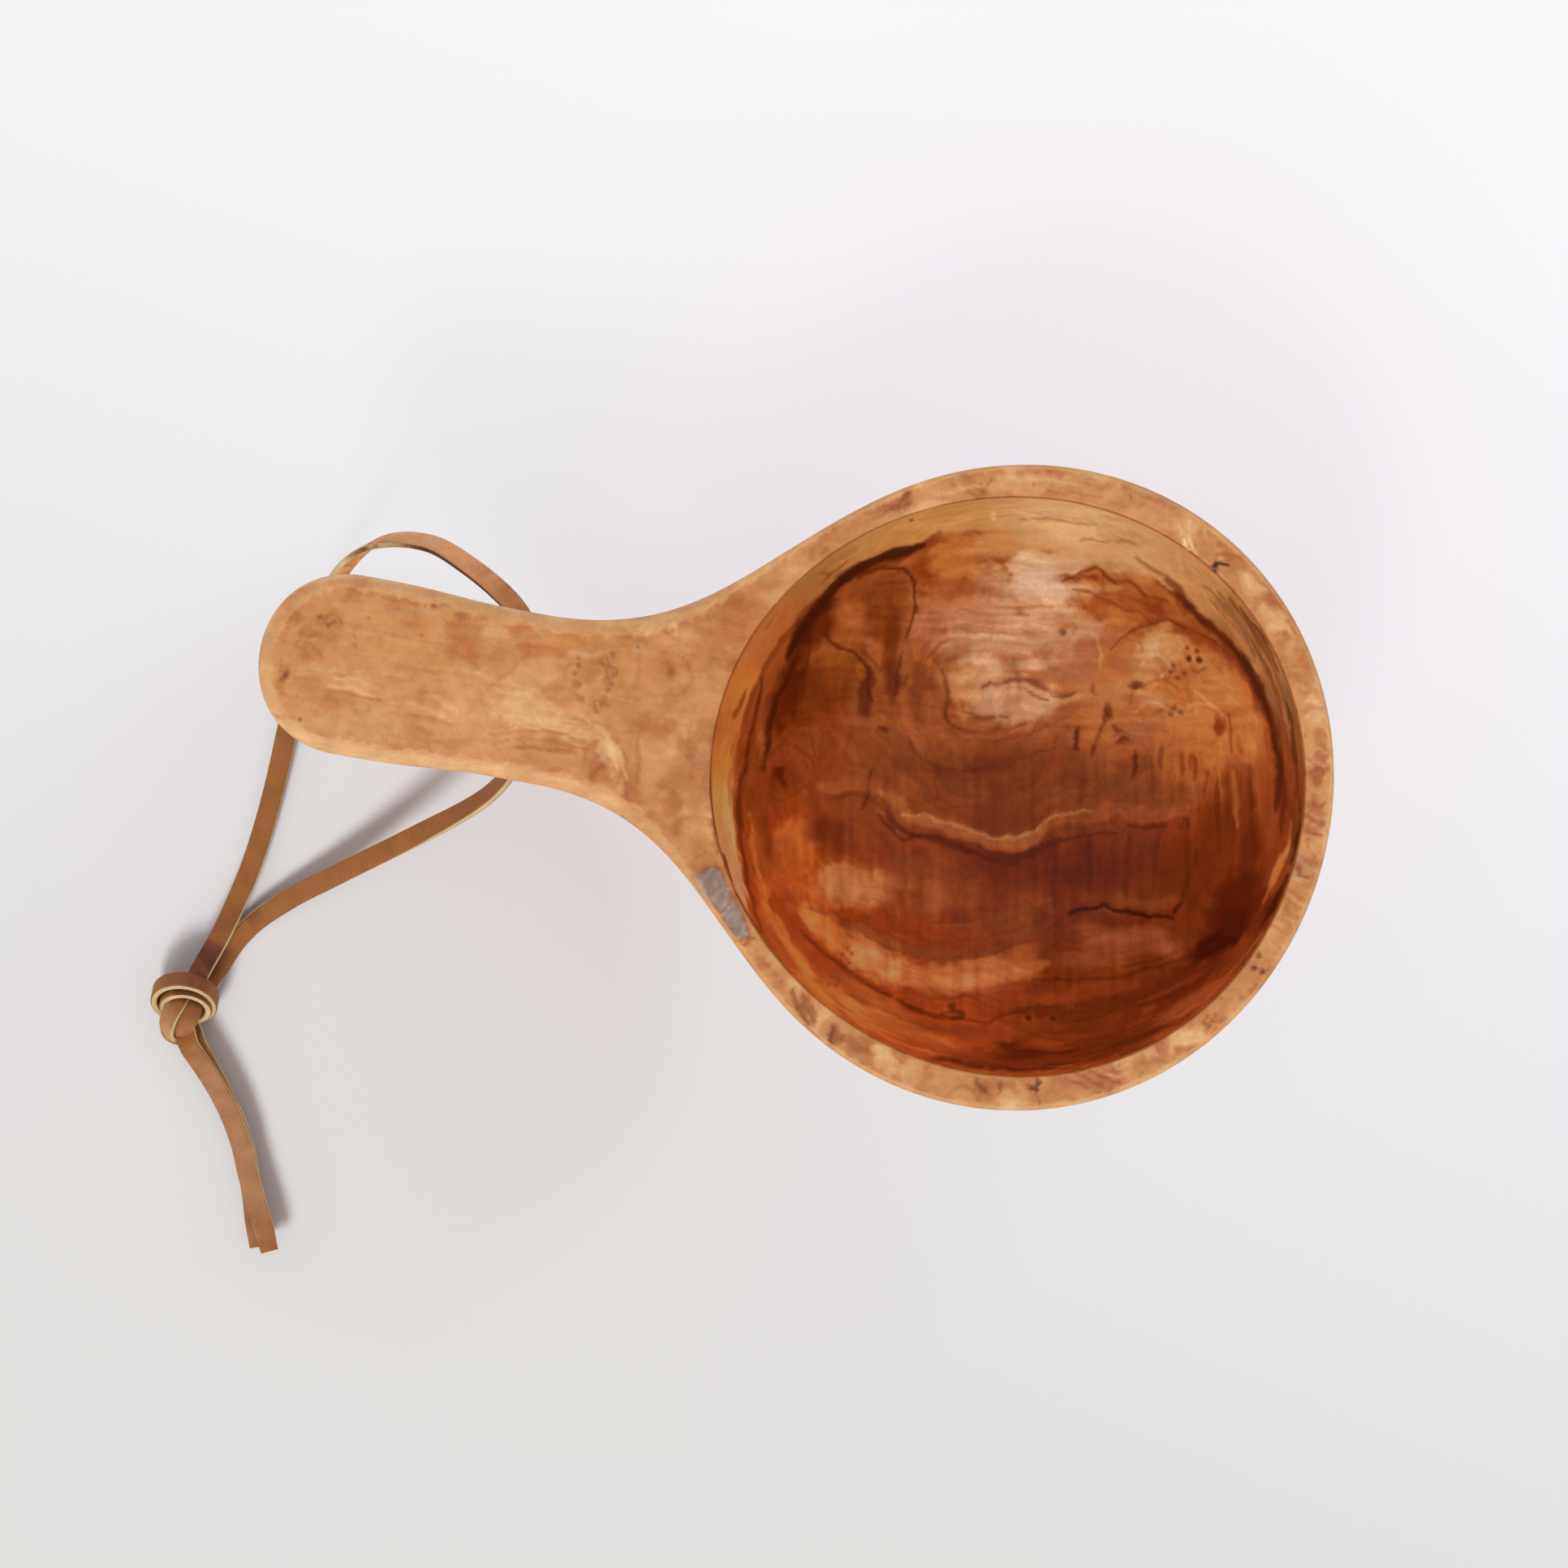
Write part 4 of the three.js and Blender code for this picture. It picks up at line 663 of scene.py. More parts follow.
# The short pale stroke at 1226,631 among these is a painted glint.
HOLLOW_LINES = """
black 2 .7 889,1052 900,1084 914,1112 931,1142; rust 3 .6 911,986 910,1030 916,1080 930,1138; umber 2 .7 886,880
890,840 905,800; dark 4 .85 940,838 930,880 920,930 913,970 911,1010 917,1060 928,1110 938,1150; ink 9 .9 1137,671
1090,686 1045,708 1010,745 985,780 970,810; ink 5 .7 985,800 962,850 948,900 940,950; dark 3 .6 1000,790 985,840
975,880; dark 3 .8 1062,706 1087,702 1112,702 1124,714 1127,735 1126,760 1118,785; dark 3.4 .75 1010,778 1033,797
1057,807 1069,823 1070,845 1073,865; umber 3 .6 1098,735 1102,770 1100,800; dark 3.5 .7 1112,808 1107,830 1104,857;
umber 3 .5 1118,830 1112,850; umber 3 .5 1060,800 1070,806 1086,828; clay 4 .6 1110,873 1120,903 1137,927; clay 3 .5
1070,785 1082,802 1086,824; umber 2.6 .6 1150,812 1163,833 1169,858 1167,885 1188,899 1223,901 1270,888; umber 2 .5
1166,790 1152,800 1140,812; umber 4 .6 1236,842 1246,838 1256,838; umber 4 .6 1262,836 1276,842 1288,851; dark 3 .6
1300,857 1312,858 1322,855; umber 3 .4 1222,846 1234,844; umber 2 .6 1262,848 1276,856 1292,862; umber 2 .5 1178,872
1192,880 1215,884 1240,880; umber 2 .5 1190,908 1220,914 1260,906 1300,892; dark 2 .7 1210,846 1222,843; rose 2 .5
1157,733 1190,750 1230,757 1270,757; rose 2 .45 1210,742 1250,748 1300,748; cream 2 .5 1225,740 1265,744 1310,742;
cream 2 .5 1180,765 1230,772 1290,770; rose 2 .45 1180,776 1240,781 1290,778; brown 2 .5 1325,666 1345,663 1365,668;
brown 2 .5 1372,664 1392,668 1402,672; brown 2.2 .6 1400,688 1418,700 1440,712; brown 2 .4 1255,642 1300,640 1350,648;
dark 2.4 .55 1392,778 1403,773 1430,766 1463,773 1497,791 1530,820 1548,851 1563,893; umber 3 .7 1308,716 1330,706
1350,700 1372,716 1392,716 1412,734 1440,742; rust 3 .6 1320,726 1345,730 1370,744 1398,752 1420,766; dark 4 .6
1436,712 1448,722 1462,740; dark 8 .7 1448,728 1476,757 1509,787; dark 11 .8 1462,744 1509,787 1533,815 1552,850
1568,890 1578,930; dark 8 .7 1578,930 1581,980 1578,1030; ink 5 .7 1512,790 1538,822 1556,858 1568,895; ink 4 .6
1570,900 1576,950 1572,1000; rust 3 .5 1484,770 1512,800 1538,838 1552,880; moss 3 .7 1480,718 1505,742 1530,775
1550,812; umber 2 .7 1520,742 1545,775 1566,815 1580,855; black 2 .6 1530,748 1556,786 1576,826; moss 3 .6 1580,850
1593,895 1600,945; black 2 .55 1584,866 1592,900 1596,940; amber 2.5 .6 1590,1030 1583,1055 1570,1085 1556,1112; black
3 .75 1604,1010 1600,1035 1592,1062; black 3 .6 1588,1075 1574,1105 1555,1140; clay 4 .6 1008,969 1030,976 1050,972
1083,976 1103,996 1120,1011 1147,1012 1170,1024 1200,1031 1220,1042 1253,1046 1277,1037 1290,1023 1308,1012 1340,1012
1368,1006 1380,1000 1392,1007 1417,1011 1443,1008 1462,1002; rose 2.2 .6 1108,996 1122,1008 1150,1009 1172,1020
1204,1029 1224,1038 1254,1042; dark 2.6 .7 1172,1033 1198,1041 1222,1051 1250,1053 1274,1044 1292,1037 1318,1032
1345,1029 1377,1026; umber 3 .6 1274,1042 1300,1036 1332,1031; dark 3 .7 1390,1015 1412,1020 1437,1018; dark 3 .6
1455,1021 1463,1008 1466,1020; umber 2 .5 1376,998 1388,996 1400,1006; dark 3 .75 1082,1003 1096,1019 1113,1038
1124,1032 1140,1031 1165,1034; dark 3 .7 1063,997 1068,985 1074,974; umber 2.4 .6 1018,977 1034,983 1046,978; ink 3
.45 1075,950 1070,975; mauve 8 .6 997,1120 1037,1133 1077,1153 1123,1172 1170,1180 1225,1171 1270,1152 1300,1132;
umber 3 .5 1030,1127 1075,1143 1125,1163 1170,1170; grey 3 .3 1060,1150 1110,1170 1160,1184; brown 3 .5 1140,1140
1200,1138 1260,1122 1300,1106; umber 2.5 .4 1130,1156 1190,1160 1250,1146 1290,1128; rust 4 .7 1110,1203 1130,1212
1158,1219; rust 2.5 .5 1095,1196 1130,1200 1170,1203; dark 3 .8 988,1150 1020,1178 1057,1207 1103,1231 1150,1252
1187,1254; dark 2.6 .7 1160,1250 1178,1246 1188,1252 1176,1256; dark 2.6 .65 1187,1256 1217,1261 1234,1252 1263,1243
1300,1240; umber 3 .5 1040,1222 1090,1246 1140,1264 1190,1274; umber 2 .4 1030,1236 1080,1262 1130,1282; orange 2 .5
1060,1262 1110,1286 1150,1298; ink 3.4 .9 1313,1124 1323,1122 1337,1120 1350,1118 1360,1114 1372,1119 1385,1124
1410,1129 1432,1130 1447,1133; ink 2.6 .7 1447,1128 1451,1120 1458,1112; umber 3 .5 1345,1112 1360,1108 1378,1116;
dark 3 .6 1270,1208 1300,1206 1330,1206 1365,1206 1395,1200 1420,1190 1440,1190; umber 3 .5 1230,1226 1280,1222
1340,1222 1390,1208; dark 4 .5 1410,1194 1450,1186 1500,1160; umber 3 .5 1420,1138 1450,1150 1462,1170; umber 3 .4
1400,1040 1440,1046 1470,1060; dark 5 .4 1476,1050 1462,1090 1456,1115; umber 5 .35 1345,1045 1348,1090; umber 6 .4
1290,1060 1289,1110; umber 4 .3 1400,980 1402,1060; dark 2.5 .7 1327,898 1328,926; dark 5 .7 1363,878 1361,890; umber
3 .6 1357,892 1350,915; dark 4 .55 1378,914 1386,909 1392,911; brown 3 .4 1398,906 1406,912 1408,922; dark 3 .55
1398,926 1398,940 1395,956; dark 4 .5 1372,892 1378,898 1384,900; umber 3 .6 1348,920 1346,932; umber 4 .6 1474,934
1472,960; umber 3 .5 1487,950 1483,985; umber 3 .4 1446,952 1444,990; umber 3 .5 1515,880 1518,930; umber 3 .4
1540,940 1542,1000; amber 3 .45 1500,930 1504,985; umber 3 .4 1332,940 1333,1000; umber 3 .35 1362,930 1363,985; umber
3 .35 1420,930 1422,985; rust 3 .4 1300,900 1299,960; dark 3 .5 1347,842 1346,850; rust 2 .4 1262,940 1320,935; umber
3 .5 940,960 946,930 965,918 990,924 1004,944; umber 2.5 .5 944,976 958,985 980,980 996,966; umber 2 .4 930,955
938,915 965,900 1000,908; rust 3 .5 985,960 1000,975 1020,985; umber 2 .4 985,870 1000,905 1005,930; rust 3 .4
1010,850 1020,900 1045,935; amber 3 .4 925,1000 930,1060 945,1110; umber 3 .45 950,1100 968,1130 985,1150; amber 3 .5
955,1128 975,1165 998,1200; umber 4 .6 944,1150 955,1175 975,1200; orange 3 .6 932,1152 960,1190 996,1224 1050,1266
1100,1292 1140,1308; dark 3 .5 1060,1280 1110,1301 1160,1312; ink 4 .7 1150,1303 1200,1312 1260,1318 1330,1308; rust
2.4 .6 1160,1310 1200,1318 1240,1320; ink 3 .5 1340,1300 1390,1284 1440,1262; umber 3 .5 1250,1265 1300,1262
1350,1262; rust 3 .5 1262,1280 1297,1276 1340,1278; ink 2.6 .6 1256,1294 1290,1298 1330,1294; dark 3 .5 1420,1230
1470,1210 1520,1176; clay 2 .5 1500,1210 1530,1182 1556,1148; clay 2 .4 1440,1256 1480,1234 1515,1204; umber 2 .7
1012,705 1022,708 1042,692; umber 2.6 .7 906,884 913,866 918,850; clay 13 .5 1009,966 1023,972 1048,965 1070,968
1092,976 1108,990; tan 13 .45 1086,976 1108,990 1122,1005 1140,1013 1164,1018 1187,1028 1214,1035 1250,1038 1277,1029
1290,1016; clay 12 .5 1277,1029 1292,1013 1308,1004 1340,1004 1368,998 1385,995 1417,1003 1443,1000 1462,994; dark 3
.5 1092,998 1104,1012 1120,1026 1140,1030 1166,1034 1190,1046 1220,1055 1250,1056 1278,1046 1300,1036; mauve 9 .5
1023,1133 1059,1147 1092,1162 1142,1172 1196,1176 1250,1162 1290,1140; clay 5 .7 948,1133 970,1165 998,1208; clay 4 .5
940,1110 956,1140 975,1172; dark 4 .7 930,1140 940,1160 955,1180; dark 5 .5 1300,1040 1298,1120; dark 6 .4 1340,1035
1342,1100; dark 5 .4 1390,1030 1388,1110; dark 4 .4 1425,1040 1420,1100; dark 5 .4 1500,960 1502,1050; amber 5 .5
1520,950 1526,1020; dark 4 .5 1540,960 1546,1060; amber 3.4 .5 1590,1035 1580,1060 1566,1088; gold 2.4 .5 1592,1010
1586,1040 1572,1072; brown 3 .5 1113,804 1142,815 1164,833 1169,862 1167,884 1196,902 1250,894; umber 3 .5 1120,934
1150,948 1214,945 1250,934; brown 4 .4 1130,950 1160,965 1230,962; mauve 5 .5 1250,833 1272,840 1290,848 1297,856;
mauve 3 .4 1297,852 1315,855 1326,856; rust 3 .4 1340,846 1346,852 1352,858; rust 3 .6 1369,801 1387,783 1412,765
1444,765 1473,779 1502,801 1524,822 1545,855 1563,898; orange 2.5 .6 1340,708 1350,704 1358,712 1352,722 1342,718;
orange 3 .5 1372,720 1390,712 1408,724 1420,740; rust 3 .5 1390,735 1410,745 1430,750; dark 3.5 .8 1326,898 1325,925;
dark 4 .6 1397,930 1395,958; umber 4 .5 1432,918 1430,948; umber 3 .5 1455,925 1456,955; umber 4 .4 1376,905 1386,903
1394,906; rust 4 .6 1108,1196 1128,1203 1158,1217; dark 2.6 .7 994,1158 1034,1187 1070,1212 1113,1237 1156,1252
1185,1253 1171,1244; umber 2.4 .6 1013,718 1028,704 1044,694; umber 2 .5 945,775 953,765; clay 20 .5 1006,1142
1040,1170 1080,1192 1130,1206 1190,1210; tan 15 .4 1090,1196 1140,1208 1200,1211 1250,1201 1290,1186; rust 4 .6
1000,1164 1040,1196 1090,1220 1150,1234 1210,1230 1270,1216; umber 3 .5 1060,1150 1105,1170 1160,1182 1220,1176
1270,1158 1300,1138; dark 5 .6 1092,1004 1110,1022 1142,1034 1170,1040 1200,1052 1245,1062 1282,1048 1310,1034; cream
2.4 .5 1110,1002 1140,1006 1166,1012 1190,1022 1216,1030 1250,1032 1274,1024 1292,1010 1320,1001 1345,999; umber 5 .5
1020,985 1050,978 1080,990 1098,1006; umber 3 .5 1330,1226 1370,1222 1410,1212 1450,1200; dark 3 .5 1290,1262
1330,1258 1372,1246; rust 3 .5 1400,1236 1440,1222 1480,1200; umber 2.4 .5 1180,1262 1230,1272 1290,1274; dark 2.6 .6
1300,1290 1360,1278 1420,1258; dark 2.4 .5 1380,1190 1420,1184 1450,1170; clay 4 .5 1118,712 1122,740 1121,770; brown
2.4 .5 1392,868 1400,850 1412,846; brown 2.4 .5 1420,880 1440,872 1462,868; rose 3 .4 1350,860 1362,884 1380,890;
cream 2.6 .5 1408,818 1420,808 1436,812 1440,826 1428,834; brown 2 .45 1412,842 1424,836 1440,840 1450,850 1446,864;
cream 2.4 .45 1400,876 1416,866 1436,872 1450,884; brown 2 .4 1380,800 1390,788 1404,790 1408,804; orange 5 .5
1362,800 1366,820 1360,840; orange 5 .45 1340,790 1344,812 1338,830; cream 2.4 .5 1352,786 1358,806 1352,826; brown
2.2 .5 1436,870 1446,876 1458,872; rust 3 .5 1466,820 1474,826 1486,822; orange 4 .5 1480,838 1500,842 1516,852; cream
3 .5 1470,850 1490,866 1506,880; clay 3 .5 1430,900 1450,910 1476,908; gold 3 .4 1380,870 1396,880 1410,892; orange 5
.6 1304,778 1312,770 1324,772 1322,782; umber 3.5 .5 1118,905 1130,930 1160,946 1200,950 1240,944 1270,932 1300,922;
brown 3 .5 1150,880 1170,902 1205,912 1240,908 1275,896 1310,886; clay 3 .4 1160,862 1180,886 1215,896 1250,890; moss
3 .6 1500,728 1530,765 1556,812 1578,870; dark 2.4 .5 1512,735 1540,772 1565,820 1586,880; brown 3 .5 1490,735
1520,772 1546,815; gold 3 .5 1470,722 1500,752 1530,790 1552,830; umber 3 .6 1545,790 1566,835 1582,885 1590,940; gold
2.4 .45 1556,800 1576,850 1590,910; dark 3 .6 1590,900 1597,950 1600,1000; pale 2.4 .8 1226,631 1225,636 1223,642;
clay 3 .5 1128,808 1148,818 1163,836; umber 2.4 .6 1163,838 1167,860 1166,884 1184,898; sand 3 .5 1172,846 1178,866
1188,886; rust 4 .5 1080,920 1110,940 1150,952; rust 2.4 .5 906,904 900,950 899,1000; sand 2.4 .5 893,965 900,1020
912,1070; black 2.2 .6 1120,640 1122,641
"""

# Small dark eyes of the burl: colour, radius, strength, then the places.
EYES = """
mauve 2.6 .8 411,767 394,759 405,770; ink 2 .75 370,888 354,881; brown 3.2 .75 709,830 714,843 710,856 743,818 748,829
754,843 741,867 750,850 757,832 713,820 748,869; brown 5.5 .45 709,843 748,838 745,862 716,862 750,822; mauve 2 .6
785,797 1276,597 1297,640; ink 2.6 .8 1272,1340 1281,1335 1277,1342; umber 4 .75 1552,1176 1545,1192 1555,1197
1566,1195 1550,1215; ink 2.6 .7 1546,1192 1556,1198 1567,1195; clay 4.5 .6 1541,1222 1531,1230; brown 3.4 .75
1487,1253 1494,1258 1489,1264 1483,1260 1497,1251; mauve 2 .6 863,1094 886,1098; clay 3 .6 1400,1316 1380,1312
1407,1322; mauve 2 .5 1213,585 1222,592 1208,596; mauve 2 .5 432,903 455,760 520,784 486,783
"""
HOLLOW_EYES = """
dark 4 .85 1465,811 1478,813; umber 3 .8 1463,798 1475,801; umber 3 .6 1441,828 1446,820 1459,829 1451,836; umber 3 .6
1447,872 1455,878 1443,880; dark 5 .8 1173,1240; umber 3.4 .7 1024,1203 1034,1207 1030,1214 1021,1213; umber 3 .6
1044,1168 1050,1175 1043,1182 1037,1176 1047,1186; ink 3.6 .8 1297,1256 1267,1254; dark 3 .7 1333,1247 1280,1238
1326,1238 1303,1243; ink 3 .8 1247,1288; umber 3 .6 1262,1230 1315,1228; dark 4 .6 1310,780 1400,847; mauve 2 .6
1155,655 1157,657; umber 2.5 .6 1168,1312 1190,1308 1215,1316
"""

# The outline of the bark inclusion in the lower neck, in the same pixels.
BARK = ((851, 1081), (884, 1065), (900, 1096), (926, 1156), (905, 1154), (876, 1112))

BOWL_MIDDLE = np.array((1250, 968))
EVERY = slice(None)  # all of the points, for lay
TOP_TONE = np.array((1.0, 0.94, 0.86))
# The light that the hollow's walls send each other makes its dark places redder, so paint darker than this is
# made darker still, most of all its blue.
TURN_OVER = np.array((150, 80, 45))
DEEPER = (1.0, 1.06, 1.19)
# The hollow's paint is made up for the light that reaches it: in the middle, then how much more to the right,
# lower down and at the wall.
HOLLOW_TONE = np.array(((1.094, 0.893, 0.753), (-0.15, -0.14, 0.02), (0.40, 0.39, 0.41), (0.55, 0.83, 0.98)))


def hue(name):
    return np.array(PALETTE[name], float)


def rows(text):
    """The entries of a painting list, each as its colour and the rest of its words."""
    for entry in text.split(";"):
        name, *words = entry.split()
        yield hue(name), words


def pair(word):
    """A place written as x,y."""
    return tuple(map(float, word.split(",")))


def lay(rgb, where, colour, share):
    """Lays a colour over some of the points. Share runs from 0 to 1."""
    rgb[where] += (colour - rgb[where]) * share[:, None]


def paint_dabs(rgb, uv, ragged, text):
    for colour, words in rows(text):
        x, y, long, wide, turn, strength = map(float, words)
        near = np.flatnonzero(np.abs(uv - (x, y)).max(axis=1) < 1.7 * max(long, wide))
        q = uv[near] - (x, y)
        c, s = math.cos(math.radians(turn)), math.sin(math.radians(turn))
        d = np.hypot((q[:, 0] * c + q[:, 1] * s) / long, (q[:, 1] * c - q[:, 0] * s) / wide)
        lay(rgb, near, colour, strength * (1 - smoothstep(d + 0.42 * ragged[near], 0.45, 1.2)))


def distance_to_path(q, path):
    """How far points are from a path, and how far along it, from 0 to 1, the nearest place is."""
    best, along = np.full(len(q), 1e9), np.zeros(len(q))
    for i, (a, b) in enumerate(zip(path, path[1:])):
        t = np.clip(((q - a) @ (b - a)) / max(1e-9, (b - a) @ (b - a)), 0, 1)
        d = np.linalg.norm(q - a - t[:, None] * (b - a), axis=1)
        nearer = d < best
        best = np.where(nearer, d, best)
        along = np.where(nearer, (i + t) / (len(path) - 1), along)
    return best, along


def paint_lines(rgb, uv, ragged, text):
    """Lines that are thick in the middle and taper to both ends."""
    for colour, (width, strength, *places) in rows(text):
        width, strength = float(width), float(strength)
        path = smooth_curve([pair(p) for p in places], per=5)
        low, high = path.min(axis=0) - 2.5 * width, path.max(axis=0) + 2.5 * width
        near = np.flatnonzero(((uv > low) & (uv < high)).all(axis=1))
        d, along = distance_to_path(uv[near], path)
        taper = 0.35 + 0.65 * np.sqrt(np.sin(np.clip(along, 0, 1) * math.pi))
        thick = width / 2 * taper * (1.15 + 0.45 * ragged[near])
        lay(rgb, near, colour, strength * (1 - smoothstep(d, 0.5 * thick, 1.5 * thick + 1.2)))


def paint_band(rgb, uv):
    """The plain band round the top of the hollow's wall. Its lower edge is dark at the upper left, soft where the
    light falls, and firm elsewhere. Angles run clockwise from the right, from 140 to 500 degrees."""
    angle, start, *channels = np.array([(*map(float, words), *colour) for colour, words in rows(BAND)]).T
    way = uv - BOWL_MIDDLE
    here = (np.degrees(np.arctan2(way[:, 1], way[:, 0])) - 140) % 360 + 140
    begins = np.interp(here, angle, start, left=400, right=400)
    inside = np.linalg.norm(way, axis=1) - begins
    colour = np.stack([np.interp(here, angle, c) for c in channels], axis=1)
    firm = 4
    soft = firm + 26 * (smoothstep(here, 262, 280) - smoothstep(here, 296, 306))
    lay(rgb, EVERY, colour, 0.88 * smoothstep(inside / soft, -0.5, 0.5))
    dark = (soft <= firm) * smoothstep(here, 256, 244) * smoothstep(begins, 375, 365)
    lay(rgb, EVERY, hue("umber"), 0.55 * (1 - smoothstep(np.abs(inside + 3), 1, 5)) * dark)


def paint_eyes(rgb, uv, text, ring=0.25):
    """Small dark spots, each with a pale ring of some strength."""
    for colour, (radius, strength, *places) in rows(text):
        radius, strength = float(radius), float(strength)
        for spot in places:
            d = np.linalg.norm(uv - pair(spot), axis=1)
            near = np.flatnonzero(d < 3 * radius)
            lay(rgb, near, hue("sand"), ring * (1 - smoothstep(d[near], radius, 2.6 * radius)))
            lay(rgb, near, colour, strength * (1 - smoothstep(d[near], 0.5 * radius, 1.5 * radius)))


def burl_outside(p):
    """The figure of the outside, which the picture doesn't show: swirling tan and clay with darker streaks."""
    bent = p + 7 * np.stack([noise(p, 16, s, 2) for s in (21, 22, 23)], axis=1)
    rgb = np.tile(hue("tan"), (len(p), 1))
    for name, size, seed, low, high, strength in (
            ("sand", 15, 31, 0.0, 0.6, 0.7), ("clay", 12, 32, 0.0, 0.6, 0.75), ("rose", 9, 33, 0.15, 0.7, 0.6),
            ("cream", 8, 34, 0.25, 0.8, 0.5), ("rust", 7, 35, 0.4, 0.9, 0.5)):
        lay(rgb, EVERY, hue(name), strength * smoothstep(noise(bent * (1, 1, 1.5), size, seed), low, high))
    contour = np.abs(np.sin(noise(bent, 20, 36, 2) * 9))
    lay(rgb, EVERY, hue("rust"), 0.35 * (1 - smoothstep(contour, 0.03, 0.22)))
    return rgb


def write_colours(mesh, name, linear):
    layer = mesh.attributes.new(name, "FLOAT_COLOR", "POINT")
    layer.data.foreach_set("color", np.column_stack((linear, np.ones(len(linear)))).ravel())


def paint_bark(rgb, p, uv, small):
    """The grey inclusion in the lower neck, with a brown border."""
    bent = uv + 2.5 * small
    patch = inside_polygon(bent, np.array(BARK, float))
    contour = np.sin((uv @ (0.8, 0.45) + 7 * small[:, 0]) / 1.7) * 12 + 10 * noise(p, 1.1, 8)
    rgb[patch] = (np.array((154, 132, 124), float) + contour[:, None])[patch]
    edge = np.flatnonzero(np.linalg.norm(uv - (890, 1110), axis=1) < 90)
    d, _ = distance_to_path(bent[edge], np.array(BARK + BARK[:1], float))
    lay(rgb, edge, hue("brown"), 0.55 * (1 - smoothstep(d, 0.8, 3.2)))


def paint_cup(o):
    count = len(o.data.vertices)
    co = np.empty(count * 3)
    o.data.vertices.foreach_get("co", co)
    region = np.empty(count, np.float32)
    o.data.attributes["region"].data.foreach_get("value", region)
    on_top, in_hollow = region > (OUTSIDE + TOP) / 2, region > (TOP + HOLLOW) / 2
    p = co.reshape(-1, 3) / MM
    uv = seen_from_above(p)
    big = np.stack((noise(p, 9, 1), noise(p, 9, 2)), axis=1)
    small = np.stack((noise(p, 2.4, 3, 2), noise(p, 2.4, 4, 2)), axis=1)
    ragged = noise(p, 2.6, 5) + 0.45 * noise(p, 0.9, 10, 2)
    calm = (1 - 0.65 * smoothstep(np.linalg.norm(uv - BOWL_MIDDLE, axis=1), 270, 340) * in_hollow)[:, None]
    for_dabs, for_lines = uv + calm * (8 * big + 5 * small), uv + 2.6 * small
    ragged[in_hollow] *= 0.55

    # the top, which runs out below the handle's and the rim's rounded edges
    rgb = burl_outside(p)
    painted = rgb.copy()
    paint_dabs(painted, for_dabs, ragged, TOP_DABS)
    paint_lines(painted, for_lines, ragged, TOP_LINES)
    paint_eyes(painted, uv + 1.2 * small, EYES)
    paint_bark(painted, p, uv, small)
    # painted highlight: the rounded edges of the rim and the handle, just under the top, are laid over with cream
    corner = np.flatnonzero(~on_top & (p[:, 2] > 51))
    lay(painted, corner, hue("cream"), 0.5 * smoothstep(p[corner, 2], 51, 54.4))
    share = smoothstep(p[:, 2], 47, 53.5)
    share[on_top] = 1
    rgb += (painted - rgb) * share[:, None]
    # painted shade: a thin darker line round the hollow's mouth, on its rounding
    mouth_shade = (np.abs(region - TOP) < 0.2) & (p[:, 2] < CUP_HEIGHT - 0.1 * INNER_EDGE)
    rgb[mouth_shade] *= (0.88, 0.80, 0.70)

    # the hollow
    hollow = np.flatnonzero(in_hollow)
    inner = np.tile(hue("rust"), (len(hollow), 1))
    paint_dabs(inner, for_dabs[hollow], ragged[hollow], HOLLOW_DABS)
    inner = TURN_OVER * (inner / TURN_OVER) ** DEEPER
    paint_band(inner, for_lines[hollow])
    paint_lines(inner, for_lines[hollow], ragged[hollow], HOLLOW_LINES)
    paint_eyes(inner, (uv + 1.2 * small)[hollow], HOLLOW_EYES, 0.06)

    # fine contours of the growth round its heart, and the streaks of the fibres that end on the floor
    u, v = uv[hollow].T
    level = np.hypot(u - 1235, v - 850) + 30 * big[hollow, 0] + 9 * small[hollow, 0]
    ripple = np.sin(level / 6.5) * 0.5 + np.sin(level / 2.7 + 4 * big[hollow, 1]) * 0.5
    inner *= (1 + 0.075 * ripple * smoothstep(noise(p[hollow], 14, 9), -0.6, 0.4))[:, None]
    upright = np.stack((u / 7, v / 80, 0 * u), axis=1)
    level_streaks = np.stack((u / 70, (v + 8 * big[hollow, 0]) / 6, 0 * u), axis=1)
    low = smoothstep(v, 880, 970)
    streaks = low * noise(upright, 1, 12) + (1 - low) * noise(level_streaks, 1, 13)
    on_floor = 1 - smoothstep(np.linalg.norm(uv[hollow] - BOWL_MIDDLE, axis=1), 285, 325)
    inner *= 1 + (streaks * on_floor)[:, None] * (0.07, 0.11, 0.13)
    rgb[hollow] = inner

    # a faint mottle over everything, stronger and drawn out along the handle outside the hollow
    mottle = noise(p, 4.5, 6) * 0.6 + noise(p, 1.3, 7, 2) * 0.4
    lengthwise = noise(np.stack((uv @ (0.99, 0.14) / 40, uv @ (-0.14, 0.99) / 5, 0 * ragged), axis=1), 1, 14)
    mottle += 0.35 * lengthwise * ~in_hollow
    rgb *= 1 + mottle[:, None] * np.array((0.05, 0.08, 0.11)) * (1 + 0.5 * ~in_hollow)[:, None]
    linear = srgb(np.clip(rgb, 0, 255))
    linear[~in_hollow] *= TOP_TONE
    a, b = (uv[hollow] - BOWL_MIDDLE).T / 360
    middle, rightward, downward, at_wall = HOLLOW_TONE
    linear[hollow] *= middle * np.exp(a[:, None] * rightward + b[:, None] * downward
                                      + np.minimum(1, a * a + b * b)[:, None] * at_wall)
    write_colours(o.data, "wood", np.clip(linear, 0, 0.97))

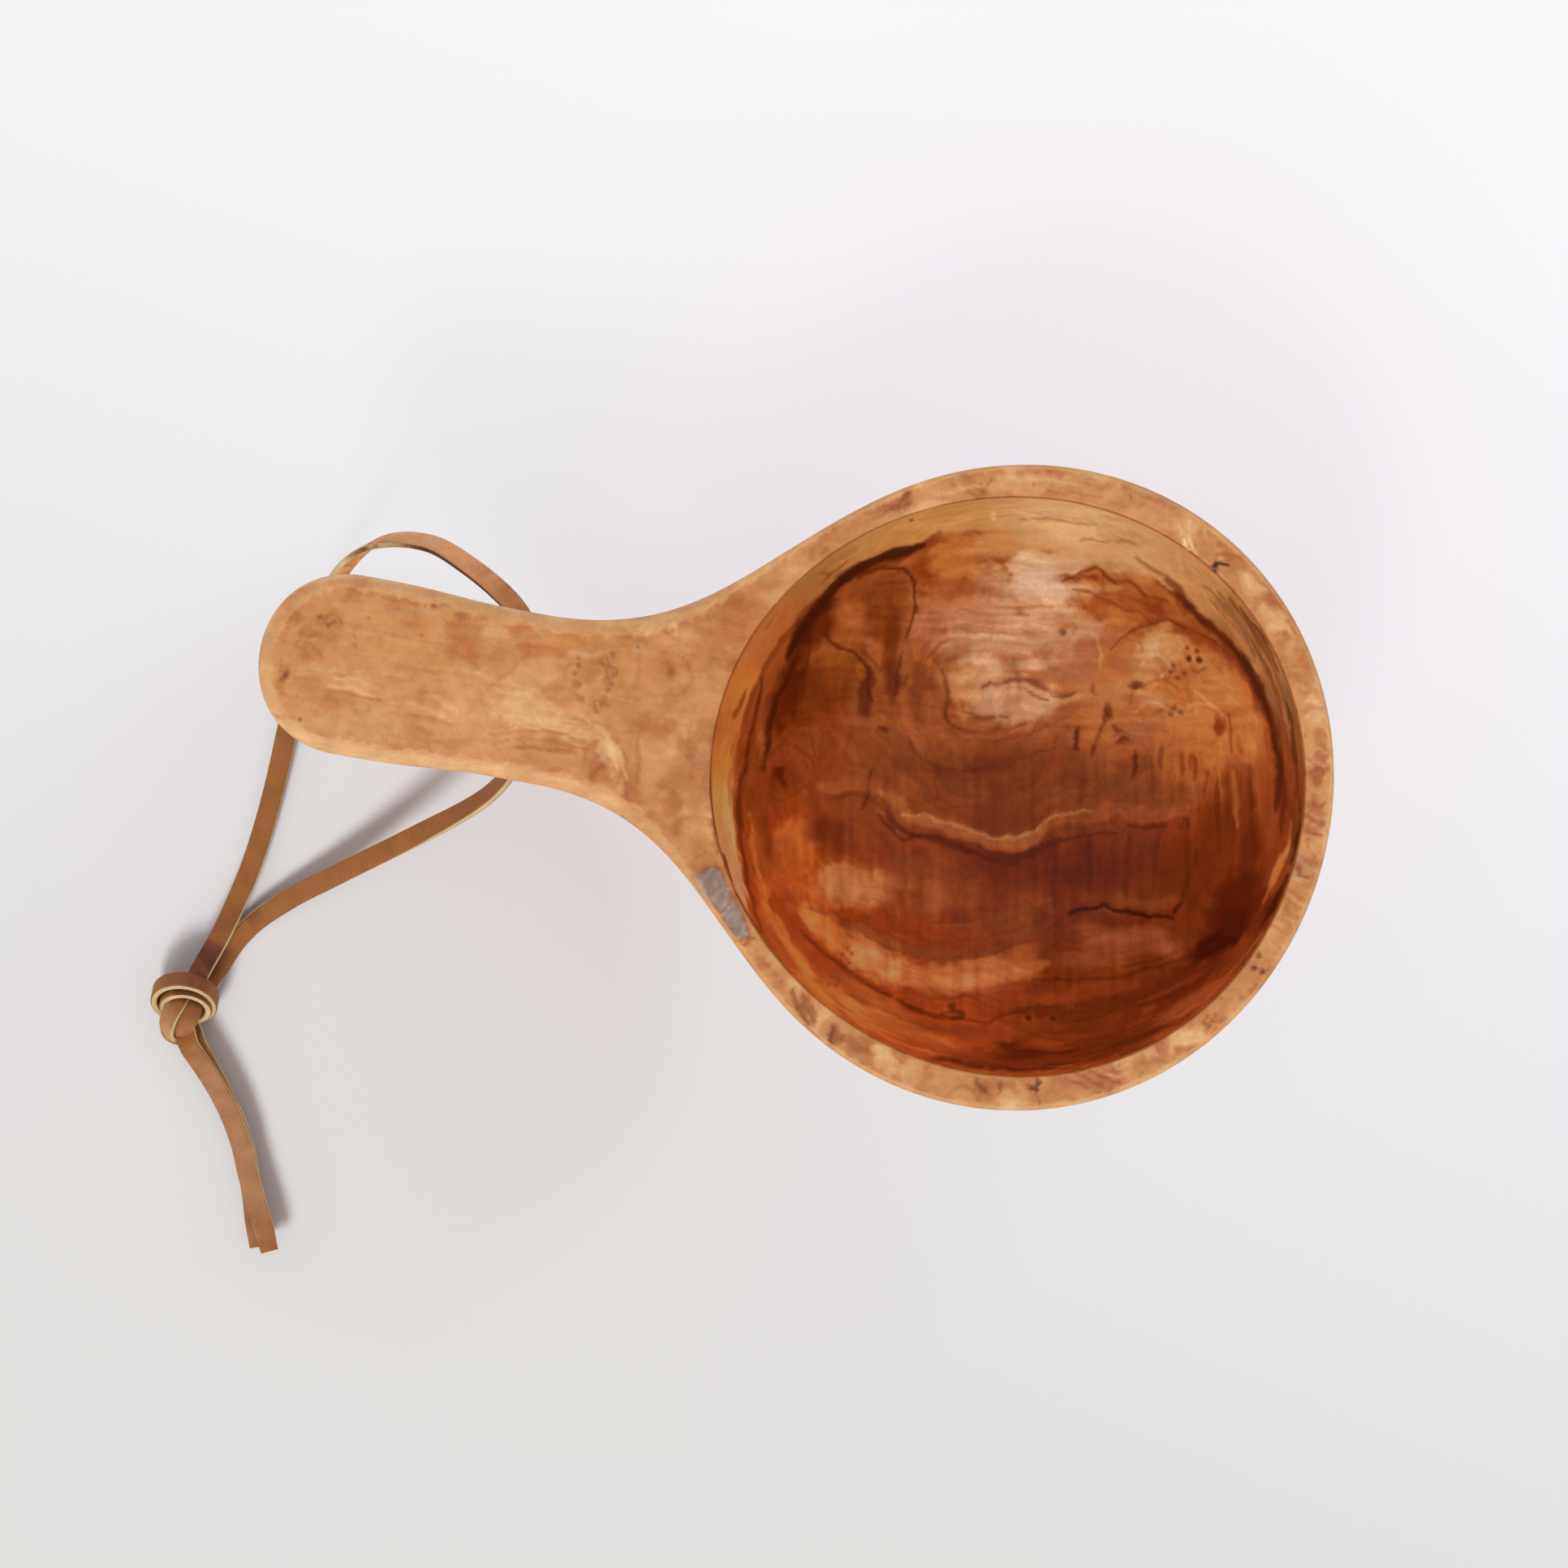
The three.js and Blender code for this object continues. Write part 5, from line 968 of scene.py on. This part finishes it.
    # where the fibres run: along the handle, round the bowl's wall, and up and down its floor
    out = np.hypot(p[:, 0], p[:, 1])
    wall = smoothstep(out, 34, 44) * in_hollow
    floor_part = (1 - wall) * in_hollow
    handle = 1 - wall - floor_part
    across = handle * (p[:, 1] + 5 * big[:, 0]) + wall * (p[:, 2] + out) + floor_part * (p[:, 0] + 4 * big[:, 1])
    along = handle * (p[:, 0] + 5 * big[:, 1]) + wall * (np.arctan2(p[:, 1], p[:, 0]) * 45) + floor_part * p[:, 1]
    grain = np.stack((along * 0.14, across, p[:, 2] * 0.5 * handle), axis=1)
    o.data.attributes.new("grain", "FLOAT_VECTOR", "POINT").data.foreach_set("vector", grain.ravel())


def wood_material():
    m, t, s = new_material("burl_wood")
    where = place(t)
    fibre = cloudy(t, attribute(t, "grain", 1), 2.2, 4.0, 0.65)
    fine = cloudy(t, where, 1500.0, 3.0, 0.6)
    cloud = cloudy(t, where, 420.0, 5.0, 0.7, 1.2)
    dim, bright = (0.95, 0.93, 0.90), (1.04, 1.05, 1.06)
    colour = times(t, attribute(t, "wood"), ramp(t, fibre, (0.25, (0.93, 0.90, 0.86)), (0.5, 1.0), (0.75, bright)))
    colour = times(t, colour, ramp(t, cloud, (0.3, dim), (0.7, bright)))
    colour = times(t, colour, ramp(t, fine, (0.3, 0.94), (0.7, 1.05)))
    # the hollow is a little smoother, and mirrors less of the white sky
    inside = arithmetic(t, "SUBTRACT", attribute(t, "region", 2), float(TOP), clamp=True)
    rough = arithmetic(t, "ADD", arithmetic(t, "MULTIPLY", inside, -0.12), arithmetic(t, "MULTIPLY", fibre, 0.14))
    surface = bump(t, fine, 0.12, 0.00008, Normal=bump(t, fibre, 0.25, 0.00012))
    fill(t, s, {"Base Color": colour, "Roughness": arithmetic(t, "ADD", rough, 0.34), "Normal": surface,
                "Specular IOR Level": arithmetic(t, "ADD", arithmetic(t, "MULTIPLY", inside, -0.2), 0.3)})
    return m


paint_cup(cup)
cup.data.materials.append(wood_material())
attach(cup, "cup")
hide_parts("cup")

# The lace, and where it lies in the finger hole.
LACE_WIDTH, LACE_THICKNESS = 3.4, 1.2
SEAT_X, SEAT_Z = -79.75, 28.32
GRAIN, CUT, FLESH = 0, 1, 2  # its sides, by the places of their materials

# Dabs of colour on the lace's grain side and on its cut edges, as in TOP_DABS.
# The tobacco and saddle dabs round the knot are darker leather with painted shade of the laps over it. The saddle dab
# at 352,915, where the lace comes out from under the handle's tip, is painted shade of the handle.
LACE_DABS = """
fawn 530 700 150 90 0 1; calf 290 1410 150 60 65 1; tobacco 256 1180 30 18 -60 .95; saddle 272 1150 40 18 -60 .5;
saddle 228 1208 46 14 0 .8; tobacco 234 1226 26 10 20 .6; calf 206 1256 12 26 0 1; fawn 204 1272 10 12 0 .5; saddle
238 1248 10 16 0 .8; saddle 352 915 12 26 0 .45; tobacco 316 1130 14 8 -30 .4; calf 335 1122 10 10 0 .5
"""
EDGE_DABS = """
wax 560 700 130 60 0 1; chamois 420 700 24 30 0 .9; wax 440 680 18 14 0 .5; wax 262 1330 60 20 65 .35
"""


def leather(name, layer, low, scale, rough):
    m, t, s = new_material(name)
    where = place(t)
    fine = cloudy(t, where, scale, 3.0, 0.7)
    colour = times(t, attribute(t, layer), ramp(t, cloudy(t, where, 260.0, 4.0, 0.6), (0.3, low), (0.7, 1.1)))
    colour = times(t, colour, ramp(t, fine, (0.3, 0.86), (0.7, 1.08)))
    fill(t, s, {"Base Color": colour, "Roughness": rough, "Specular IOR Level": 0.3,
                "Normal": bump(t, fine, 0.35, 0.0001)})
    return m


grain_side = leather("leather_grain", "tone", (0.84, 0.80, 0.76), 2600, 0.55)
cut_edge = leather("leather_edge", "rim", (0.86, 0.82, 0.74), 3400, 0.85)
flesh_side = leather("leather_flesh", "tone", (0.95, 0.95, 0.92), 3000, 0.9)


def strip_section(width, thickness, corner=0.22):
    """Points round the section of a strip, and the material of each next edge: grain, cut edge or flesh side."""
    w, h = width / 2 - corner, thickness / 2 - corner
    points, side = [], []
    for cx, cy, start, rounding, after in ((w, h, 0, GRAIN, GRAIN), (-w, h, 90, GRAIN, CUT),
                                           (-w, -h, 180, FLESH, FLESH), (w, -h, 270, FLESH, CUT)):
        for i in range(4):
            a = math.radians(start + 30 * i)
            points.append((cx + corner * math.cos(a), cy + corner * math.sin(a)))
            side.append(after if i == 3 else rounding)
    return np.array(points), side


def strip(name, points, normals, width=LACE_WIDTH, widths=None, step=0.7):
    """A flat strip of lace along points, its grain side facing the way normals say, and its middle line."""
    share = np.ones(len(points)) if widths is None else np.asarray(widths) / width
    both = smooth_curve(np.column_stack((np.asarray(points, float), np.asarray(normals, float), share)), per=24)
    way = way_along(both[:, :3])
    even = np.linspace(0, way[-1], max(3, int(round(way[-1] / step))) + 1)
    both = np.stack([np.interp(even, way, both[:, i]) for i in range(7)], axis=1)
    line, hint, share = both[:, :3], both[:, 3:6], both[:, 6]
    tangent = np.gradient(line, axis=0)
    tangent /= np.linalg.norm(tangent, axis=1)[:, None]
    normal = hint - (hint * tangent).sum(axis=1)[:, None] * tangent
    normal /= np.linalg.norm(normal, axis=1)[:, None]
    across = np.cross(tangent, normal) * share[:, None]
    section, side = strip_section(width, LACE_THICKNESS)
    rings = (line[:, None, :] + section[None, :, 0, None] * across[:, None, :]
             + section[None, :, 1, None] * normal[:, None, :])
    o = tube(name, rings)
    for m in (grain_side, cut_edge, flesh_side):
        o.data.materials.append(m)
    o.data.polygons.foreach_set("material_index", side * (len(line) - 1) + [CUT, CUT])
    verts = rings.reshape(-1, 3)
    uv, uneven = seen_from_above(verts), noise(verts, 2.2, 11)
    for layer, base, dabs in (("tone", "hide", LACE_DABS), ("rim", "chamois", EDGE_DABS)):
        rgb = np.tile(hue(base), (len(verts), 1))
        paint_dabs(rgb, uv, uneven, dabs)
        write_colours(o.data, layer, srgb(rgb))
    o.data.shade_smooth()
    o.data.set_sharp_from_angle(angle=math.radians(50))
    return o, line


def tilted(points, degrees):
    """Normals of a strip that leans to the right of the way it runs, by so many degrees at each point."""
    way = np.gradient(np.asarray(points, float), axis=0)
    way[:, 2] = 0
    way /= np.linalg.norm(way, axis=1)[:, None]
    a = np.radians(degrees)[:, None]
    return np.stack((way[:, 1], -way[:, 0], 0 * way[:, 0]), axis=1) * np.sin(a) + np.array((0, 0, 1)) * np.cos(a)


# The lines of the lace's pieces, and how far it leans to the right at each of their points, in degrees.
LONG_ROUTE = [
    (SEAT_X, 0.0, SEAT_Z), (SEAT_X, 3.6, SEAT_Z), (SEAT_X, 7, SEAT_Z), (-80.6, 9.8, 28.3), (-82.3, 12.2, 28.1),
    (-84.8, 14.7, 27.8), (-88.6, 17.3, 27), (-93.6, 19.9, 25), (-98.9, 22, 22.5), (-103.1, 22.4, 20),
    (-107, 21.9, 17.2), (-109.8, 20.9, 14.8), (-112.7, 18.6, 12), (-115.5, 14.6, 8.8), (-117.6, 8.6, 6.4),
    (-118.7, 1.8, 4.5), (-119.4, -5.6, 3.3), (-119.9, -12.8, 2.6), (-120.2, -19.9, 2.1), (-120.8, -28.1, 2),
    (-121.8, -35.9, 2.2), (-123.1, -42.4, 3.3), (-124.5, -48.2, 4.9), (-126.3, -53.6, 5.8),
    at(243, 1204, 5.8), at(236, 1219, 5.6)]
LONG_LEAN = (0, 0, 0, 0, 0, 15, 22, 30, 38, 45, 54, 75, 102, 118, 88, 45, 15, 5, 5, 6, 8, 14, 18, 14, 10, 5)
SHORT_ROUTE = [
    (SEAT_X, 0.0, SEAT_Z), (SEAT_X, -3.6, SEAT_Z), (SEAT_X, -7, SEAT_Z), (-79.9, -10, 27.6), (-80.7, -12.7, 25.8),
    (-82.5, -15.5, 22.9), (-84.8, -18, 19.8), (-88, -20.7, 16.3), (-91.6, -23.4, 13), (-95.8, -26.5, 10),
    (-100.2, -29.7, 7.5), (-104.5, -32.8, 5.5), (-108.8, -36, 4.1), (-112.1, -38.4, 3.1), (-115.3, -41, 2.4),
    (-119.1, -44.6, 1.9), (-122, -48.7, 1.8), (-124.1, -53.6, 2.1), at(261, 1204, 3.0), at(252, 1219, 3.8)]
SHORT_LEAN = (79, 79, 79, 65, 52, 42, 36, 30, 22, 12, 5, 0, 0, 0, -8, -22, -25, -15, 0, 0)
FRONT_ROUTE = [
    (-126.4, -67.4, 4.9), (-124.4, -69.5, 4.7), (-121.9, -72.1, 4.5), (-119.3, -75.2, 4.3), (-116.8, -78.8, 4.2),
    (-114.6, -82.8, 4.2), (-112.9, -86.8, 4.3), (-110.8, -91, 4.4), (-108.8, -95, 4.6), (-106.9, -99, 4.9)]
BACK_ROUTE = [(x + 1 - smoothstep(i / 9, 0, 0.35) - 1.9 * smoothstep(i / 9, 0.6, 1), y + 0.3, z - 1.8)
              for i, (x, y, z) in enumerate(FRONT_ROUTE)]
FRONT_ROUTE = [at(223, 1258, 3.7), at(228, 1270, 4.1)] + FRONT_ROUTE
BACK_ROUTE = [at(233, 1262, 1.9), at(238, 1274, 2.3)] + BACK_ROUTE
FRONT_LEAN = (12, 14, 14, 14, 12, 10, 8, 6, 4, 2, 0, 0)
BACK_LEAN = (10, 10, 10, 12, 12, 10, 8, 6, 4, 4, 2, 0)

long_normals = tilted(LONG_ROUTE, LONG_LEAN)
long_normals[:5] = ((-1, 0, 0.2), (-1, 0, 0.2), (-1, 0, 0.2), (-0.75, 0.6, 0.3), (-0.6, 0.6, 0.6))
strand_long, long_line = strip("strand_long", LONG_ROUTE, long_normals)
strand_short, short_line = strip("strand_short", SHORT_ROUTE, tilted(SHORT_ROUTE, SHORT_LEAN))
tail_front, front_line = strip("tail_front", FRONT_ROUTE, tilted(FRONT_ROUTE, FRONT_LEAN),
                               widths=[LACE_WIDTH] * 11 + [0.85 * LACE_WIDTH])
tail_back, back_line = strip("tail_back", BACK_ROUTE, tilted(BACK_ROUTE, BACK_LEAN))


def lap(name, middle, rx, rz, lean, width, count=18):
    """A turn of lace round the others in the knot. Its top leans back from the tails."""
    c, s = math.cos(math.radians(lean)), math.sin(math.radians(lean))
    side, up = np.array((0.997, 0.080, 0)), np.array((-0.080 * s, 0.997 * s, c))
    points, out = [], []
    for a in np.radians(np.linspace(-110, 250, count)):
        points.append(middle + rx * math.cos(a) * side + rz * math.sin(a) * up)
        out.append(math.cos(a) / rx * side + math.sin(a) / rz * up)
    return strip(name, points, out, width=width, step=0.5)[0]


def turn(name, places, lean, widths):
    """A strip that comes out of the laps and turns down under the knot."""
    points = [at(*p) for p in places]
    return strip(name, points, tilted(points, lean), widths=widths, step=0.4)[0]


knot_parts = [
    lap("knot_outer_lap", at(228, 1230, 5.0), 5.05, 4.6, 42, 3.0),
    lap("knot_inner_lap", at(230, 1236, 5.3), 3.85, 3.45, 42, 2.9),
    turn("knot_turn_left", ((224, 1222, 6.0), (217, 1236, 7.0), (210, 1250, 7.5), (206, 1262, 6.8), (206, 1272, 5.2),
                            (210, 1279, 3.2), (216, 1281, 1.4)),
         (5, 15, 25, 32, 38, 40, 40), (3.3, 3.3, 3.1, 3.0, 2.7, 2.3, 1.8)),
    turn("knot_turn_right", ((239, 1226, 5.0), (237, 1242, 5.8), (232, 1256, 6.1), (226, 1267, 5.4), (220, 1276, 3.8),
                             (216, 1280, 2.2)),
         (-5, -8, -12, -15, -10, 0), (3.4, 3.4, 3.3, 3.1, 2.7, 2.0)),
]

for o in (strand_long, strand_short, tail_front, tail_back, *knot_parts):
    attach(o, "lace")
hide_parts("lace_strand_long")
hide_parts("lace_strand_short")
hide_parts("lace_tail_front")
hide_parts("lace_tail_back")
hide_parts("lace_knot")


floor_mesh = bpy.data.meshes.new("floor")
floor_mesh.from_pydata([(-3, -3, 0), (3, -3, 0), (3, 3, 0), (-3, 3, 0)], [], [(0, 1, 2, 3)])
floor = added("floor", floor_mesh)

# How bright the key lamp and the world make a white floor, and what the ground lamp adds, which is taken off the
# floor's own colour again.
OPEN_LIGHT = 0.994
GROUND = np.array((0.64, 0.77, 0.77))


def floor_material():
    """White paper, painted a little brighter towards the top of the picture as the light falls, with painted bounce
    light from the wood above the bowl and painted warm shade beside the bowl below the handle. It glows enough to keep
    the cup's shadow faint, and doesn't glow round the lace."""
    m, t, s = new_material("floor")
    where = place(t)

    def distance(middle):
        return node(t, "ShaderNodeVectorMath", {0: where, 1: tuple(middle)}, "Value", operation="DISTANCE")

    # painted light: the paper is brighter towards the top and the right of the picture
    share = node(t, "ShaderNodeVectorMath", {0: where, 1: tuple(4.0 * UP + 1.5 * RIGHT)}, "Value",
                 operation="DOT_PRODUCT")
    shade = ramp(t, arithmetic(t, "ADD", share, 0.53), (0.0, srgb((226, 224, 222))), (0.5, srgb((237, 235, 238))),
                 (1.0, srgb((249, 248, 250))))
    # painted bounce light, pink, above the bowl, and painted warm shade beside the bowl below the handle
    for middle, reach, tint in ((at(1330, 650, 0), 0.1, (1.0, 0.955, 0.985)),
                                (at(760, 1150, 0), 0.09, (0.96, 0.95, 0.93))):
        shade = times(t, shade, ramp(t, distance(middle * MM), (0.03, tint), (reach, 1.0)))
    round_lace = arithmetic(t, "MULTIPLY", distance((-0.108, -0.052, 0)), 10.0)
    glow = ramp(t, round_lace, (0.5, 0.0), (0.72, 0.9))
    paper = times(t, shade, arithmetic(t, "SUBTRACT", 1.0, glow))
    fill(t, s, {"Base Color": times(t, paper, four(OPEN_LIGHT / (OPEN_LIGHT + GROUND))), "Emission Color": shade,
                "Emission Strength": glow, "Roughness": 0.9, "Specular IOR Level": 0.0})
    return m


floor.data.materials.append(floor_material())


# The way that the light of both lamps runs, 45 degrees down, and the energy with which such a lamp makes a white
# floor as bright as the lamp's colour.
LIGHT_WAY = Vector((0.152, 0.988, -1.0))
ONE = math.pi * math.sqrt(2)


def sun(name, energy, angle, colour):
    o = added(name, bpy.data.lights.new(name, "SUN"))
    o.data.energy = energy
    o.data.angle = math.radians(angle)
    o.data.color = colour
    o.rotation_euler = LIGHT_WAY.to_track_quat("-Z", "Y").to_euler()
    return o


sun("key", 0.95, 26, (1.0, 0.99, 0.97))
# the ground lamp lights the floor alone, and makes the lace's shadow as firm as in the picture
ground = sun("ground", float(GROUND.max()) * ONE, 15, tuple(GROUND / GROUND.max()))
ground.light_linking.receiver_collection = bpy.data.collections.new("floor_only")
ground.light_linking.receiver_collection.objects.link(floor)
world = bpy.data.worlds.new("world")
bpy.context.scene.world = world
world.use_nodes = True
fill(world.node_tree, world.node_tree.nodes["Background"], {"Color": (1.0, 0.985, 1.0, 1), "Strength": 0.78})
